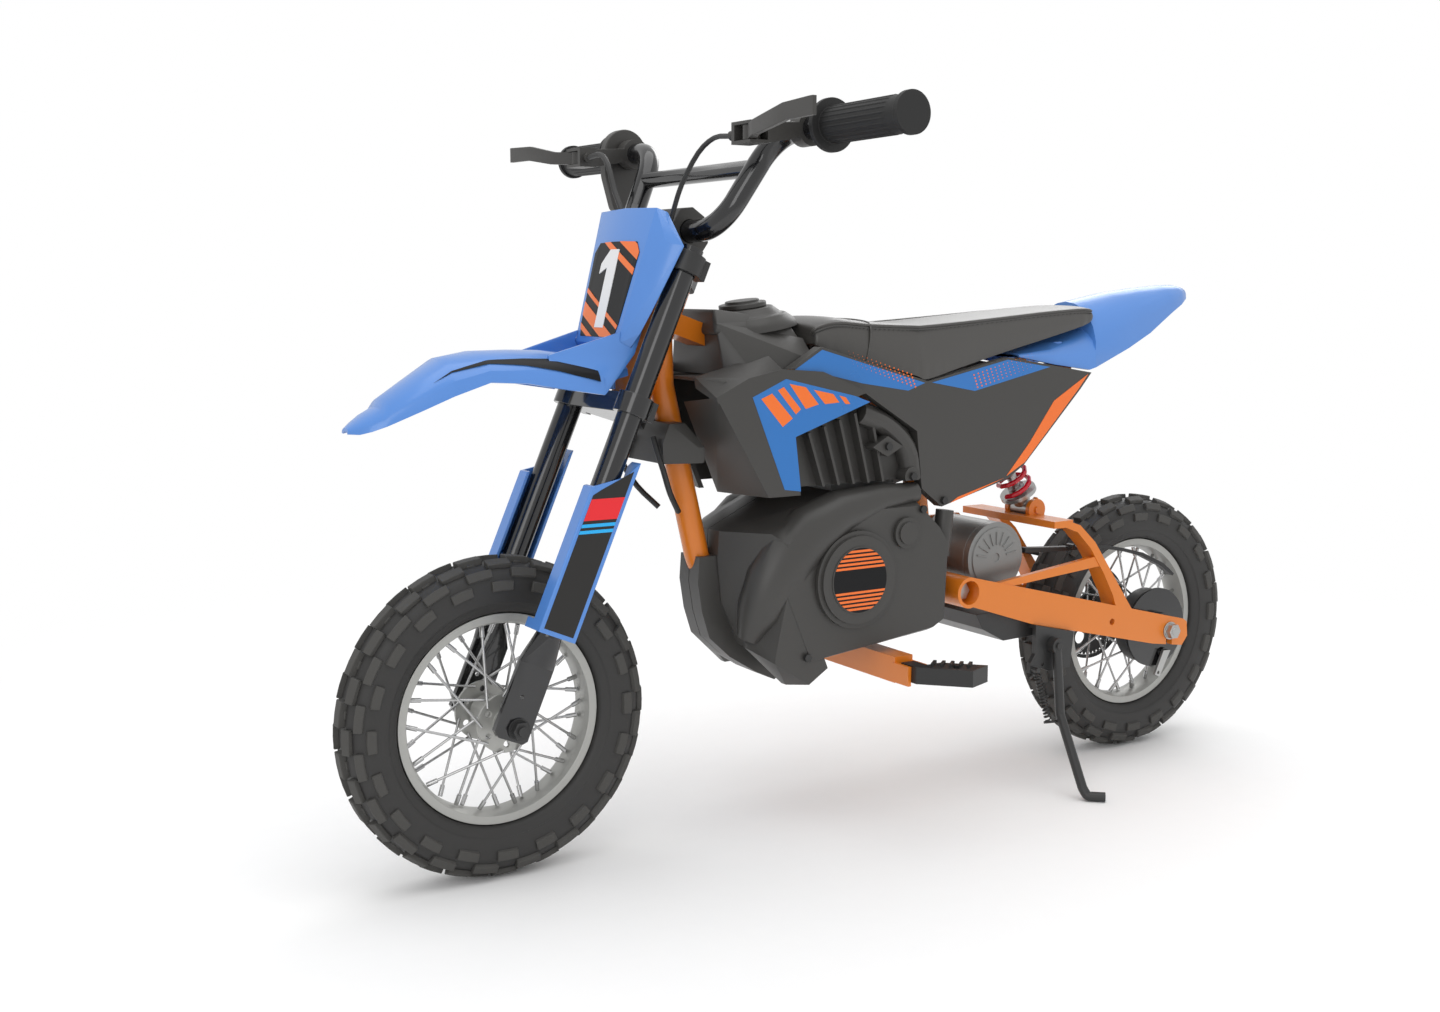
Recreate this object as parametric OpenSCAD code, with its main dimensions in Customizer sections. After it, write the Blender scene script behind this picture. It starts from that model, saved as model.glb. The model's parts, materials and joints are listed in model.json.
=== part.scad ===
// Children's electric dirt bike. Millimetres, +X forward, +Y to the rider's left, +Z up,
// origin on the ground midway between the axles.

/* [Wheels] */
// Distance between the two axles
wheelbase = 862; // [840:1:890]
// Outer diameter of both tyres
tyre_d = 320; // [314:1:322]
// Width of the tyre over its shoulder knobs
tyre_w = 60; // [58:1:66]
// Height of the tread knobs
knob_h = 6; // [4:0.5:8]
// Outer diameter of the rim flange
rim_d = 210; // [204:1:214]
// Width of the rim
rim_w = 32; // [28:1:36]
// Spokes in each wheel
spoke_count = 36; // [24:12:36]
// Diameter of a spoke
spoke_d = 2.6; // [2:0.1:3]
// Diameter of both axles
axle_d = 10; // [8:1:12]

/* [Fork] */
// Angle of the steering axis from the vertical
rake = 23.5; // [22:0.5:25]
// Distance between the two fork tubes, centre to centre
fork_gap = 129; // [126:1:134]
// Diameter of a fork tube
fork_d = 25.4; // [24:0.1:26]
// Offset of the fork tubes ahead of the steering axis
clamp_offset = 28; // [26:1:30]
// Offset of the fork tubes ahead of the axle
blade_offset = 8.3; // [6:0.1:10]
// Length of a fork tube from the axle to its top
fork_len = 492; // [488:1:498]
// Thickness of a fork blade
blade_t = 7; // [5:0.5:8]
// Wall of the plastic guards, fenders and covers
skin_t = 3; // [2.5:0.1:3.5]

/* [Cockpit] */
// Width of the handlebar over its ends
bar_w = 634; // [610:2:650]
// Diameter of the handlebar tube
bar_d = 22.2; // [21:0.1:23]
// Diameter of the crossbar
cross_d = 17; // [14:1:19]
// Diameter of a grip
grip_d = 33; // [30:1:36]
// Length of a grip
grip_len = 114; // [105:1:120]

/* [Rear end] */
// Thickness of a swingarm plate
arm_t = 8; // [6:0.5:9]
// Distance between the outer faces of the swingarm plates
arm_gap = 160; // [156:1:168]
// Outer diameter of the swingarm pivot tube
pivot_d = 35; // [33:1:38]
// Diameter of the swingarm pivot shaft
shaft_d = 14; // [12:1:16]
// Diameter of the motor
motor_d = 82; // [78:1:84]
// Length of the motor
motor_len = 96; // [90:1:98]
// Teeth of the rear sprocket
rear_teeth = 54; // [48:1:60]
// Teeth of the motor sprocket
motor_teeth = 11; // [9:1:13]
// Pitch of the drive chain
chain_pitch = 6.35; // [6:0.05:6.5]
// Diameter of the shock's spring
spring_d = 42; // [38:1:44]
// Wire of the shock's spring
spring_wire = 6; // [5:0.5:6.5]

/* [Body] */
// Width of the body over its side covers
body_w = 170; // [164:1:180]
// Width of the seat at its widest
seat_w = 148; // [140:1:150]
// Width of the battery pack
battery_w = 92; // [80:1:96]

/* [Hidden] */
$fn = 48;

blue = [0.20, 0.45, 0.85];
orange = [0.85, 0.42, 0.05];
charcoal = [0.27, 0.26, 0.25];
black = [0.05, 0.05, 0.05];
steel = [0.65, 0.66, 0.66];
tyre_grey = [0.20, 0.20, 0.19];
red = [0.75, 0.05, 0.08];

slip = 0.05;  // running clearance of a shaft in its bore
seat_gap = 0.3;  // clearance between pieces that only lie together
wheel_r = tyre_d / 2;
front_x = wheelbase / 2;
rear_x = -wheelbase / 2;
axle_r = axle_d / 2;
fork_r = fork_d / 2;
bar_r = bar_d / 2;
fork_y = fork_gap / 2;
fork_x = blade_offset;  // fork tubes in the fork's own frame
steer_x = blade_offset - clamp_offset;  // steering axis in the fork's own frame
blade_in = fork_y - fork_r - 1.8;  // inner face of a fork blade
arm_out = arm_gap / 2;
arm_in = arm_out - arm_t;
body_y = body_w / 2;

function unit(v) = v / norm(v);

// A straight round bar between two points
module rod(a, b, r) {
  v = b - a;
  translate(a)
    rotate([0, acos(v.z / norm(v)), atan2(v.y, v.x)])
      cylinder(r = r, h = norm(v));
}

// A round bar along Y
module bar_y(r, y0, y1, x = 0, z = 0) {
  translate([x, y0, z])
    rotate([-90, 0, 0])
      cylinder(r = r, h = y1 - y0);
}

bend_lap = 2;  // degrees by which a bend runs on into the straight tube at each end
bend_step = 0.1;  // how much thinner a bend is than the straight tube

// The arc that turns one straight run of tube into the next
module tube_bend(a, p, b, r, bend_r) {
  u = unit(p - a);
  w = unit(b - p);
  turn = acos(u * w);
  n = unit(cross(u, w));
  cut = bend_r * tan(turn / 2);
  m = cross(n, u);
  c = p - cut * u + bend_r * m;
  x = -m;
  y = cross(n, x);
  multmatrix([[x.x, y.x, n.x, c.x], [x.y, y.y, n.y, c.y], [x.z, y.z, n.z, c.z], [0, 0, 0, 1]])
    rotate([0, 0, -bend_lap])
      rotate_extrude(angle = turn + 2 * bend_lap)
        translate([bend_r, 0])
          circle(r - bend_step);
}

function bend_cut(a, p, b, bend_r) = bend_r * tan(acos(unit(p - a) * unit(b - p)) / 2);

// A bent tube through a list of points, each corner an arc of the same radius
module bent_tube(pts, r, bend_r) {
  last = len(pts) - 1;
  for (i = [0 : last - 1]) {
    a = pts[i];
    b = pts[i + 1];
    u = unit(b - a);
    ca = i == 0 ? 0 : bend_cut(pts[i - 1], a, b, bend_r);
    cb = i == last - 1 ? 0 : bend_cut(a, b, pts[i + 2], bend_r);
    rod(a + ca * u, b - cb * u, r);
    if (i < last - 1)
      tube_bend(a, b, pts[i + 2], r, bend_r);
  }
}

// A flat plate in the XZ plane between two Y planes
module plate_xz(pts, y0, y1) {
  translate([0, y1, 0])
    rotate([90, 0, 0])
      linear_extrude(y1 - y0)
        polygon(pts);
}

// Skin over a list of closed rings with the same number of points
module loft(rings) {
  n = len(rings[0]);
  m = len(rings);
  pts = [for (g = rings) each g];
  sides = [for (i = [0 : m - 2]) for (j = [0 : n - 1]) let (k = (j + 1) % n)
    each [[i * n + j, i * n + k, (i + 1) * n + k], [i * n + j, (i + 1) * n + k, (i + 1) * n + j]]];
  first = [for (j = [n - 1 : -1 : 0]) j];
  end = [for (j = [0 : n - 1]) (m - 1) * n + j];
  polyhedron(pts, concat([first], sides, [end]), convexity = 6);
}

// A swept cable: rings square to the route, drawn through rounded corners
function bez(a, b, c, d, t) =
  a * pow(1 - t, 3) + b * 3 * t * pow(1 - t, 2) + c * 3 * t * t * (1 - t) + d * pow(t, 3);
function tangent(p, i) = i == 0 ? p[1] - p[0] : i == len(p) - 1 ? p[i] - p[i - 1] : (p[i + 1] - p[i - 1]) / 2;
function smooth(p, n) = [for (i = [0 : len(p) - 2]) for (k = [0 : n - 1])
    bez(p[i], p[i] + tangent(p, i) / 3, p[i + 1] - tangent(p, i + 1) / 3, p[i + 1], k / n), p[len(p) - 1]];
function side(t) = unit(cross(t, abs(t.x) < 0.8 * norm(t) ? [1, 0, 0] : [0, 1, 0]));
function carried(s, t) = unit(s - (s * unit(t)) * unit(t));
function frames(p, i = 0, s = [0, 0, 0]) = i == len(p) ? [] :
  let (t = tangent(p, i), c = i == 0 ? side(t) : carried(s, t))
  concat([[p[i], c, unit(cross(t, c))]], frames(p, i + 1, c));
module cable(p, r, steps = 3, sides = 8) {
  f = frames(smooth(p, steps));
  loft([for (g = f) [for (a = [0 : sides - 1])
    g[0] + r * cos(a * 360 / sides) * g[1] - r * sin(a * 360 / sides) * g[2]]]);
}

// The fork's own frame: origin on the front axle, Z up along the steering axis, X forward
module in_fork() {
  translate([front_x, 0, wheel_r])
    rotate([0, -rake, 0])
      children();
}

function fork_point(x, y, z) =
  [front_x + x * cos(rake) - z * sin(rake), y, wheel_r + x * sin(rake) + z * cos(rake)];

module both() {
  children();
  mirror([0, 1, 0])
    children();
}

// ---------------------------------------------------------------- wheels
rim_r = rim_d / 2;
bead_r = rim_r - 4.7;
well_r = rim_r - 10;
flange_t = 2.8;
tyre_y = tyre_w / 2;
band_r = rim_r + 12.5;  // smooth band of the lower sidewall
hub_y = 44;  // half length of a hub
hub_flange_y = 29;
hub_flange_r = 30;
hub_flange_t = 3;
spoke_r = spoke_d / 2;

// Tread: each profile point has a low radius and half width, then what the blocks of its row add to both
knob_count = 18;
knob_steps = 6;
bead_y = rim_w / 2 - flange_t - seat_gap;
tread = [[bead_r + seat_gap, bead_y, 0, 0, 0], [rim_r + seat_gap, bead_y, 0, 0, 0],
  [rim_r + 1.6, rim_w / 2 + 1.5, 0, 0, 0], [band_r, rim_w / 2 + 8.5, 0, 0, 0], [wheel_r - 27, tyre_y - 4, 0, 0, 0],
  [wheel_r - 21, tyre_y - 4, 0, 3, 1], [wheel_r - 14, tyre_y - 7, 2, 3.4, 1], [wheel_r - 10, tyre_y - 11, 4, 1, 2],
  [wheel_r - 6.6, tyre_y - 18, 4.6, 1, 2], [wheel_r - knob_h, tyre_y - 22, knob_h, 1, 1]];
tread_inner = [[wheel_r - 13, tyre_y - 20], [band_r + 14, tyre_y - 9], [bead_r + 2, bead_y - 5]];

// Row 1 stands out over the first half of each pitch, row 2 over the second half
function raised(row, i) = let (k = i % knob_steps) row == 1 ? (k < 3 ? 1 : 0) : row == 2 ? (k > 2 ? 1 : 0) : 0;
knob_at = [-0.2, 0, 0.2, 0.3, 0.5, 0.7];
function knob_angle(i) = -90 + (floor(i / knob_steps) + knob_at[i % knob_steps]) * 360 / knob_count;
function tread_ring(i) = let (a = knob_angle(i),
  one = [for (q = tread) [q[0] + raised(q[4], i) * q[2], q[1] + raised(q[4], i) * q[3]]],
  inn = tread_inner, n = len(one), m = len(inn),
  loop = concat(one, [for (k = [n - 1 : -1 : 0]) [one[k].x, -one[k].y]],
    [for (k = [m - 1 : -1 : 0]) [inn[k].x, -inn[k].y]], inn))
  [for (q = loop) [q.x * cos(a), q.y, q.x * sin(a)]];

module tyre() {
  total = knob_count * knob_steps;
  rings = [for (i = [0 : total - 1]) tread_ring(i)];
  n = len(rings[0]);
  polyhedron([for (g = rings) each g], [for (i = [0 : total - 1]) for (j = [0 : n - 1])
    let (k = (j + 1) % n, b = (i + 1) % total)
    each [[i * n + j, i * n + k, b * n + k], [i * n + j, b * n + k, b * n + j]]], convexity = 8);
}

module rim() {
  half = [[rim_r, rim_w / 2], [rim_r, rim_w / 2 - flange_t], [bead_r, rim_w / 2 - flange_t],
    [well_r + 2.5, rim_w / 2 - 8]];
  under = [[well_r - 1, rim_w / 2 - 7], [rim_r - 8, rim_w / 2]];
  rotate([90, 0, 0])
    rotate_extrude($fn = 120)
      polygon(concat(half, [for (i = [3 : -1 : 0]) [half[i].x, -half[i].y]],
        [for (i = [1 : -1 : 0]) [under[i].x, -under[i].y]], under));
}

module hub_shape(reach) {
  difference() {
    union() {
      bar_y(14, -reach, reach);
      bar_y(17, -hub_flange_y + 8, hub_flange_y - 8);
      both()
        bar_y(hub_flange_r, hub_flange_y - hub_flange_t, hub_flange_y);
    }
    bar_y(axle_r + slip, -reach - 1, reach + 1);
    for (i = [0 : 5])
      rotate([0, 30 + i * 60, 0])
        bar_y(3.2, -hub_flange_y - 1, hub_flange_y + 1, 21.5, 0);
  }
}

module spokes() {
  per = spoke_count / 4;
  step = 360 / per;
  lean = 42;
  hub_r = hub_flange_r - 3;
  end_r = well_r - 2.4;
  y_out = hub_flange_y + seat_gap + spoke_r + 1.8;
  y_in = hub_flange_y - hub_flange_t - seat_gap - spoke_r;
  for (s = [-1, 1])
    for (k = [0 : per - 1])
      for (d = [-1, 1]) {
        a = k * step + (s > 0 ? 0 : step / 4) + (d > 0 ? 0 : step / 2);
        b = a + d * lean;
        p = [hub_r * cos(a), s * (d > 0 ? y_out : y_in), hub_r * sin(a)];
        q = [end_r * cos(b), s * 3.5, end_r * sin(b)];
        rod(p, q, spoke_r);
        rod(q + 11 * unit(p - q), q, spoke_r + 1);
      }
}

module at_front() {
  translate([front_x, 0, wheel_r])
    children();
}

module at_rear() {
  translate([rear_x, 0, wheel_r])
    children();
}

module front_tyre() { color(tyre_grey) at_front() tyre(); }
module front_rim() { color(steel) at_front() rim(); }
module front_hub() { color(steel) at_front() hub_shape(hub_y); }
module front_spokes() { color(steel) at_front() spokes(); }
module rear_tyre() { color(tyre_grey) at_rear() tyre(); }
module rear_rim() { color(steel) at_rear() rim(); }
module rear_spokes() { color(steel) at_rear() spokes(); }

// ---------------------------------------------------------------- fork
blade_front = 23;
blade_back = -14;
blade_bottom = -13;
blade_top = 62;
leg_start = 93;
nut_r = 9.5;
nut_t = 7.5;

module fork_leg() {
  difference() {
    union() {
      translate([fork_x, fork_y, leg_start])
        cylinder(r = fork_r, h = fork_len - leg_start);
      hull() {
        translate([fork_x, fork_y, leg_start - 1])
          cylinder(r = fork_r, h = 2, $fn = 32);
        translate([blade_back, blade_in, blade_top])
          cube([blade_front - blade_back, blade_t, 2]);
      }
      translate([0, blade_in + blade_t, 0])
        rotate([90, 0, 0])
          linear_extrude(blade_t)
            polygon([[blade_back, blade_top + 1], [blade_front, blade_top + 1], [blade_front, blade_bottom + 5],
              [blade_front - 6, blade_bottom], [blade_back + 4, blade_bottom], [blade_back, blade_bottom + 4]]);
    }
    bar_y(axle_r + slip, blade_in - 1, blade_in + blade_t + 1);
    bar_y(2.2, blade_in - 1, blade_in + blade_t + 1, fork_x, 30);
  }
}

module fork_legs() { color(black) in_fork() both() fork_leg(); }

guard_front = 20.2;
guard_back = -20.8;
guard_low = 94.5;
guard_top_front = 239;
guard_top_back = 278;

module guard() {
  translate([fork_x, fork_y, 0])
    difference() {
      union() {
        difference() {
          translate([0, 16.5, 0])
            rotate([90, 0, 0])
              linear_extrude(18.5)
                polygon([[guard_back, guard_low], [guard_front, guard_low], [guard_front, guard_top_front],
                  [guard_back + 10, guard_top_back - 18], [guard_back, guard_top_back]]);
          translate([guard_back + skin_t, -3, guard_low - 1])
            cube([guard_front - guard_back - 2 * skin_t, 19.5 - skin_t, guard_top_back]);
        }
        translate([guard_back, -fork_r - 2.5, guard_low])
          cube([guard_front - guard_back, 16.5 + fork_r + 2.5 - 0.5, 10]);
      }
      translate([0, 0, guard_low - 1])
        cylinder(r = fork_r + slip, h = 12);
      translate([guard_back - 1, -fork_r - 4, guard_low - 20])
        cube([guard_front - guard_back + 2, 2 * fork_r, 20]);
      translate([guard_front - 8, 16.5, guard_low])
        rotate([0, 0, 45])
          translate([5, -10, -1])
            cube([20, 20, guard_top_back]);
    }
}

module fork_guards() { color(blue) in_fork() both() guard(); }

module hex_y(r, y0, y1, x = 0, z = 0) {
  translate([x, y0, z])
    rotate([-90, 0, 0])
      cylinder(r = r, h = y1 - y0, $fn = 6);
}

// An axle with its nuts and washers outside the plates and its spacers inside
module axle_set(inner, plate, hub_end) {
  out = inner + plate;
  bar_y(axle_r, -out - 2 - nut_t - 3, out + 2 + nut_t + 3);
  both() {
    bar_y(nut_r + 1.5, out + slip, out + 2);
    hex_y(nut_r, out + 2, out + 2 + nut_t);
    bar_y(nut_r - 2, hub_end + seat_gap, inner - slip);
  }
}

module front_axle() { color([0.15, 0.15, 0.15]) at_front() axle_set(blade_in, blade_t, hub_y); }

low_clamp_z = 318;
low_clamp_h = 20;
top_clamp_z = 466;
top_clamp_h = 20;
clamp_front = fork_x + 10;  // front face of both clamps
steerer_r = 12.6;
head_r = 20;
race_h = 6;
head_low = low_clamp_z + low_clamp_h + 2;
head_high = top_clamp_z - 2;

module clamp_plate(z, h) {
  difference() {
    union() {
      hull() {
        translate([steer_x, 0, z])
          cylinder(r = 24, h = h);
        translate([fork_x - 4, 0, z])
          cube([14, 2 * fork_y - 20, 2 * h], center = true);
      }
      for (s = [-1, 1]) {
        translate([fork_x, s * fork_y, z])
          cylinder(r = fork_r + 5, h = h);
        translate([fork_x - 22, s * fork_y - 8, z])
          cube([14, 16, h]);
      }
      translate([fork_x - 12, -fork_y, z])
        cube([clamp_front - fork_x + 12, 2 * fork_y, h]);
    }
    translate([-100, -200, z - 100])
      cube([300, 400, 100]);
    translate([-100, -200, z + h])
      cube([300, 400, 100]);
    for (s = [-1, 1])
      translate([fork_x, s * fork_y, z - 1])
        cylinder(r = fork_r + slip, h = h + 2);
  }
}

module steerer() {
  color(black)
    in_fork() {
      clamp_plate(low_clamp_z, low_clamp_h);
      translate([steer_x, 0, low_clamp_z + 1])
        cylinder(r = steerer_r, h = fork_len - low_clamp_z - 8);
    }
}

module top_clamp() {
  color(charcoal)
    in_fork()
      difference() {
        clamp_plate(top_clamp_z, top_clamp_h);
        translate([steer_x, 0, top_clamp_z - 1])
          cylinder(r = steerer_r + slip, h = top_clamp_h + 2);
      }
}

// ---------------------------------------------------------------- cockpit
grip_z = 724.4;
grip_x = 176;
bar_knee = [228, 92, 632];
bar_top = [179, 118, 722];
bar_end = [grip_x, bar_w / 2, grip_z];
bar_bend = 42;
cross_z = 690;
cross_y = 108;
cross_x = 197;
bar_dir = unit(bar_end - bar_top);
function flip(p) = [p.x, -p.y, p.z];
function on_bar(y) = bar_top + bar_dir * ((y - bar_top.y) / bar_dir.y);
grip_in = bar_w / 2 - grip_len;
clamp_half = 38;

module handlebar() {
  color(black) {
    bent_tube([bar_end, bar_top, bar_knee, flip(bar_knee), flip(bar_top), flip(bar_end)], bar_r, bar_bend);
    bar_y(cross_d / 2, -cross_y, cross_y, cross_x, cross_z);
  }
}

module bar_clamp() {
  color(charcoal)
    difference() {
      in_fork()
        translate([0, clamp_half, 0])
          rotate([90, 0, 0])
            linear_extrude(2 * clamp_half)
              polygon([[-16, top_clamp_z + top_clamp_h + slip], [18, top_clamp_z + top_clamp_h + slip],
                [24, 506], [21, 530], [8, 537], [-8, 534], [-22, 512]]);
      bar_y(bar_r + slip, -clamp_half - 1, clamp_half + 1, bar_knee.x, bar_knee.z);
      in_fork()
        translate([steer_x, 0, top_clamp_z])
          cylinder(r = steerer_r + 3, h = 30);
    }
}

// A sleeve on the bar with its inner flange and end cap, on the left side
module grip_sleeve(gap) {
  a = on_bar(grip_in + 4);
  b = on_bar(bar_w / 2);
  difference() {
    union() {
      rod(a, b + 4 * bar_dir, grip_d / 2);
      rod(a - 4 * bar_dir, a + 1 * bar_dir, grip_d / 2 + 8);
      rod(b - 2 * bar_dir, b + 4 * bar_dir, grip_d / 2 + 2.5);
    }
    rod(a - 5 * bar_dir, b + gap * bar_dir, bar_r + gap);
  }
}

module left_grip() { color(black) grip_sleeve(slip); }
module throttle_grip() { color(black) mirror([0, 1, 0]) grip_sleeve(slip); }

perch_y = 168;
lever_pivot = [243, 172, 716];
pivot_pin_r = 3;

module perch() {
  c = on_bar(perch_y);
  nose = [246, 142, 715];
  difference() {
    union() {
      rod(c - 8 * bar_dir, c + 8 * bar_dir, bar_r + 5);
      hull() {
        translate([c.x + 13, c.y - 8, c.z - 9])
          cube([6, 16, 14]);
        translate([lever_pivot.x - 14, 152, lever_pivot.z - 9])
          cube([4, 32, 18]);
      }
      for (z = [-10, 7])
        translate([lever_pivot.x - 11, 152, lever_pivot.z + z])
          cube([20, 32, 3]);
      translate([lever_pivot.x - 11, 152, lever_pivot.z - 10])
        cube([20, 5, 20]);
      rod([lever_pivot.x, 153, lever_pivot.z], nose, 4.5);
      translate([lever_pivot.x, lever_pivot.y, lever_pivot.z - 10])
        cylinder(r = pivot_pin_r, h = 20);
    }
    rod(c - 10 * bar_dir, c + 10 * bar_dir, bar_r + slip);
  }
}

module lever_perches() { color(charcoal) both() perch(); }

lever_tip = [262, 300, 727];
lever_stations = [[1, 4, -6.5, 13, 6], [13, 28, -5, 13, 5], [17, 80, 2.5, 15, 4], [19, 123, 3, 16, 4]];

module lever() {
  difference() {
    union() {
      translate([lever_pivot.x, lever_pivot.y, lever_pivot.z - 6.5])
        cylinder(r = 8, h = 13);
      for (i = [0 : 2])
        hull()
          for (q = [lever_stations[i], lever_stations[i + 1]])
            translate([lever_pivot.x + q[0], lever_pivot.y + q[1], lever_pivot.z + q[2]])
              cube([q[4], 5, q[3]]);
    }
    translate([lever_pivot.x, lever_pivot.y, lever_pivot.z - 8])
      cylinder(r = pivot_pin_r + slip, h = 16);
  }
}

module left_lever() { color(charcoal) lever(); }
module right_lever() { color(charcoal) mirror([0, 1, 0]) lever(); }

// Oval throttle housing round the right end of the bar, inboard of the twist grip
housing_y = 180.5;
housing_t = 12;

module throttle_housing() {
  c = on_bar(housing_y);
  color(charcoal)
    mirror([0, 1, 0])
      difference() {
        hull() {
          bar_y(26, housing_y, housing_y + housing_t, c.x + 2, c.z + 2);
          bar_y(24, housing_y, housing_y + housing_t, c.x + 4, c.z - 20);
          bar_y(9, housing_y, housing_y + housing_t, c.x + 10, c.z - 54);
        }
        rod(c - 30 * bar_dir, c + 30 * bar_dir, bar_r + slip);
      }
}

// ---------------------------------------------------------------- front plastics
plate_top_z = 513;
plate_wide_z = 484;
plate_low_z = 372;

module plate_body(in) {
  hull() {
    for (s = [-1, 1]) {
      translate([54 - in, s * (56 - in), plate_top_z - in])
        sphere(1, $fn = 12);
      translate([44 - in, s * (60 - in), plate_top_z - in])
        sphere(1, $fn = 12);
      translate([40 - in, s * (72 - in), plate_wide_z])
        sphere(1, $fn = 12);
      translate([28 - in, s * (84 - in), plate_wide_z + 1])
        sphere(1, $fn = 12);
      translate([37 - in, s * (44 - in), plate_low_z + 8])
        sphere(1, $fn = 12);
      translate([24 - in, s * (56 - in), plate_low_z + 24])
        sphere(1, $fn = 12);
      translate([24 - in, s * (42 - in), plate_low_z])
        sphere(1, $fn = 12);
    }
    translate([48 - in, 0, plate_wide_z])
      sphere(1, $fn = 12);
    translate([58 - in, 0, plate_top_z - in])
      sphere(1, $fn = 12);
  }
}

module number_plate() {
  color(blue)
    in_fork() {
      difference() {
        plate_body(0);
        translate([-0.01, 0, 0])
          plate_body(skin_t);
        translate([-30, -100, plate_low_z - 20])
          cube([54.5, 200, 200]);
      }
      for (s = [-1, 1])
        translate([clamp_front + seat_gap, s * 16, top_clamp_z + 12])
          rotate([0, 90, 0])
            cylinder(r = 5, h = 46 - clamp_front);
    }
}

// Fender sections: x, edge height, crown height, half width
function fender_ring(x, edge_z, crown_z, w, t, n = 12) = let (
  top = [for (i = [0 : n]) let (a = 180 * i / n) [x, w * cos(a), edge_z + (crown_z - edge_z) * pow(sin(a), 0.7)]],
  low = [for (i = [n : -1 : 0]) let (a = 180 * i / n)
    [x, (w - t) * cos(a), edge_z + (crown_z - t - edge_z) * pow(sin(a), 0.7) - (i == 0 || i == n ? 0.5 : 0)]])
  concat(top, low);

fender_front = [[572, 445, 450, 9], [564, 445, 456, 19], [555, 447.6, 462, 25], [543, 452, 468, 30],
  [538, 454, 476, 31], [510, 466, 494, 38], [482, 478, 512, 43], [448, 490, 517.6, 49], [412, 488, 518, 51],
  [378, 482, 517, 53], [346, 477, 513, 56], [334, 475, 511, 57], [326, 486, 510, 46], [302, 492, 508, 44]];
wing_pts = [[[384, 38, 512], [289, 47, 539], [299, 48, 514]], [[384, 38, 512], [299, 48, 514], [334, 55, 477]],
  [[384, 38, 512], [334, 55, 477], [384, 50, 486]], [[299, 48, 514], [330, 48, 484], [334, 55, 477]]];

module front_fender() {
  color(blue)
    difference() {
      union() {
        loft([for (q = fender_front) fender_ring(q[0], q[1], q[2], q[3], skin_t)]);
        both()
          translate([308, 18, 477.8])
            cylinder(r = 5, h = 28);
        both()
          for (t = wing_pts)
            hull()
              for (v = t)
                translate(v)
                  cube(2.4, center = true);
      }
      in_fork()
        plate_body(-0.5);
    }
}

// ---------------------------------------------------------------- frame
pivot = [-109, 0, 240];
pivot_half = 47;
tube_r = 13;
shock_top = [-176, 0, 462];
shock_half = 15;
peg_y = 120;
peg_z = 173;
peg_x = 2;
down_path = [[242, 0, 536], [240, 0, 478], [198, 0, 298], [163, 0, 216], [20, 0, 200], [-105, 0, 237]];
rear_path = [[74, 0, 480], [-60, 0, 452], [-86, 0, 400], [-107, 0, 246]];
rail_a = [-62, 12, 446];  // front end of the rail under the seat
rail_b = [-286, 38, 486];  // its rear end
tab_low = 14;  // half width of the lug under the frame that carries the pegs

// The two bent tubes of the frame, also cut out of the covers around them
module frame_tubes(r) {
  bent_tube(down_path, r, 45);
  bent_tube(rear_path, r, 45);
}

module head_axis() {
  in_fork()
    translate([steer_x, 0, 0])
      children();
}

module backbone(grow) {
  hull() {
    translate([238, 0, 543])
      cube([4, 36 + 2 * grow, 21 + 2 * grow], center = true);
    translate([60, 0, 481])
      cube([4, 36 + 2 * grow, 21 + 2 * grow], center = true);
  }
}

module main_frame() {
  color(orange) {
    difference() {
      union() {
        head_axis()
          translate([0, 0, head_low])
            cylinder(r = head_r, h = head_high - head_low);
        backbone(0);
        frame_tubes(tube_r);
        bar_y(pivot_d / 2, -pivot_half, pivot_half, pivot.x, pivot.z);
        for (s = [-1, 1]) {
          rod([rail_a.x, s * rail_a.y, rail_a.z], [rail_b.x, s * rail_b.y, rail_b.z], 9);
          rod([-94, s * 8, 352], [shock_top.x - 4, s * 27, shock_top.z], 8);
          plate_xz([[shock_top.x - 14, shock_top.z - 14], [shock_top.x + 14, shock_top.z - 14],
            [shock_top.x + 16, shock_top.z + 10], [shock_top.x - 16, shock_top.z + 14]],
            s > 0 ? shock_half : -shock_half - 10, s > 0 ? shock_half + 10 : -shock_half);
        }
        bar_y(6, -shock_half - 4, shock_half + 4, shock_top.x, shock_top.z);
        translate([peg_x - 12, -peg_y + 17, peg_z - 14])
          cube([24, 2 * peg_y - 34, 28]);
        translate([peg_x - 10, -tab_low, peg_z])
          cube([20, 2 * tab_low, 34]);
        for (s = [-1, 1])
          for (d = [-1, 1])
            translate([peg_x + d * 11 - 2, s > 0 ? peg_y - 20 : -peg_y - 7, peg_z - 13])
              cube([4, 27, 21]);
        for (s = [-1, 1])
          rod([peg_x - 13, s * peg_y, peg_z], [peg_x + 13, s * peg_y, peg_z], 4);
      }
      head_axis() {
        translate([0, 0, head_low - 1])
          cylinder(r = steerer_r + 4, h = head_high - head_low + 2);
        translate([0, 0, head_low - 1])
          cylinder(r = head_r - 3, h = race_h + 1);
        translate([0, 0, head_high - race_h])
          cylinder(r = head_r - 3, h = race_h + 1);
      }
      bar_y(shaft_d / 2 + slip, -pivot_half - 1, pivot_half + 1, pivot.x, pivot.z);
    }
  }
}

module head_bearings() {
  color(steel)
    head_axis()
      for (z = [head_low, head_high - race_h])
        translate([0, 0, z])
          difference() {
            cylinder(r = head_r - 3 - slip, h = race_h - slip);
            translate([0, 0, -1])
              cylinder(r = steerer_r + slip, h = race_h + 2);
          }
}

pivot_nut = 10.5;
arm_root = pivot_half + 0.5;  // inner end of a swingarm tube
bush_end = 60;

module pivot_shaft() {
  color(steel) {
    bar_y(shaft_d / 2, -bush_end - 7, bush_end + 7, pivot.x, pivot.z);
    both()
      hex_y(pivot_nut, bush_end + seat_gap, bush_end + 7, pivot.x, pivot.z);
  }
}

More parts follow.
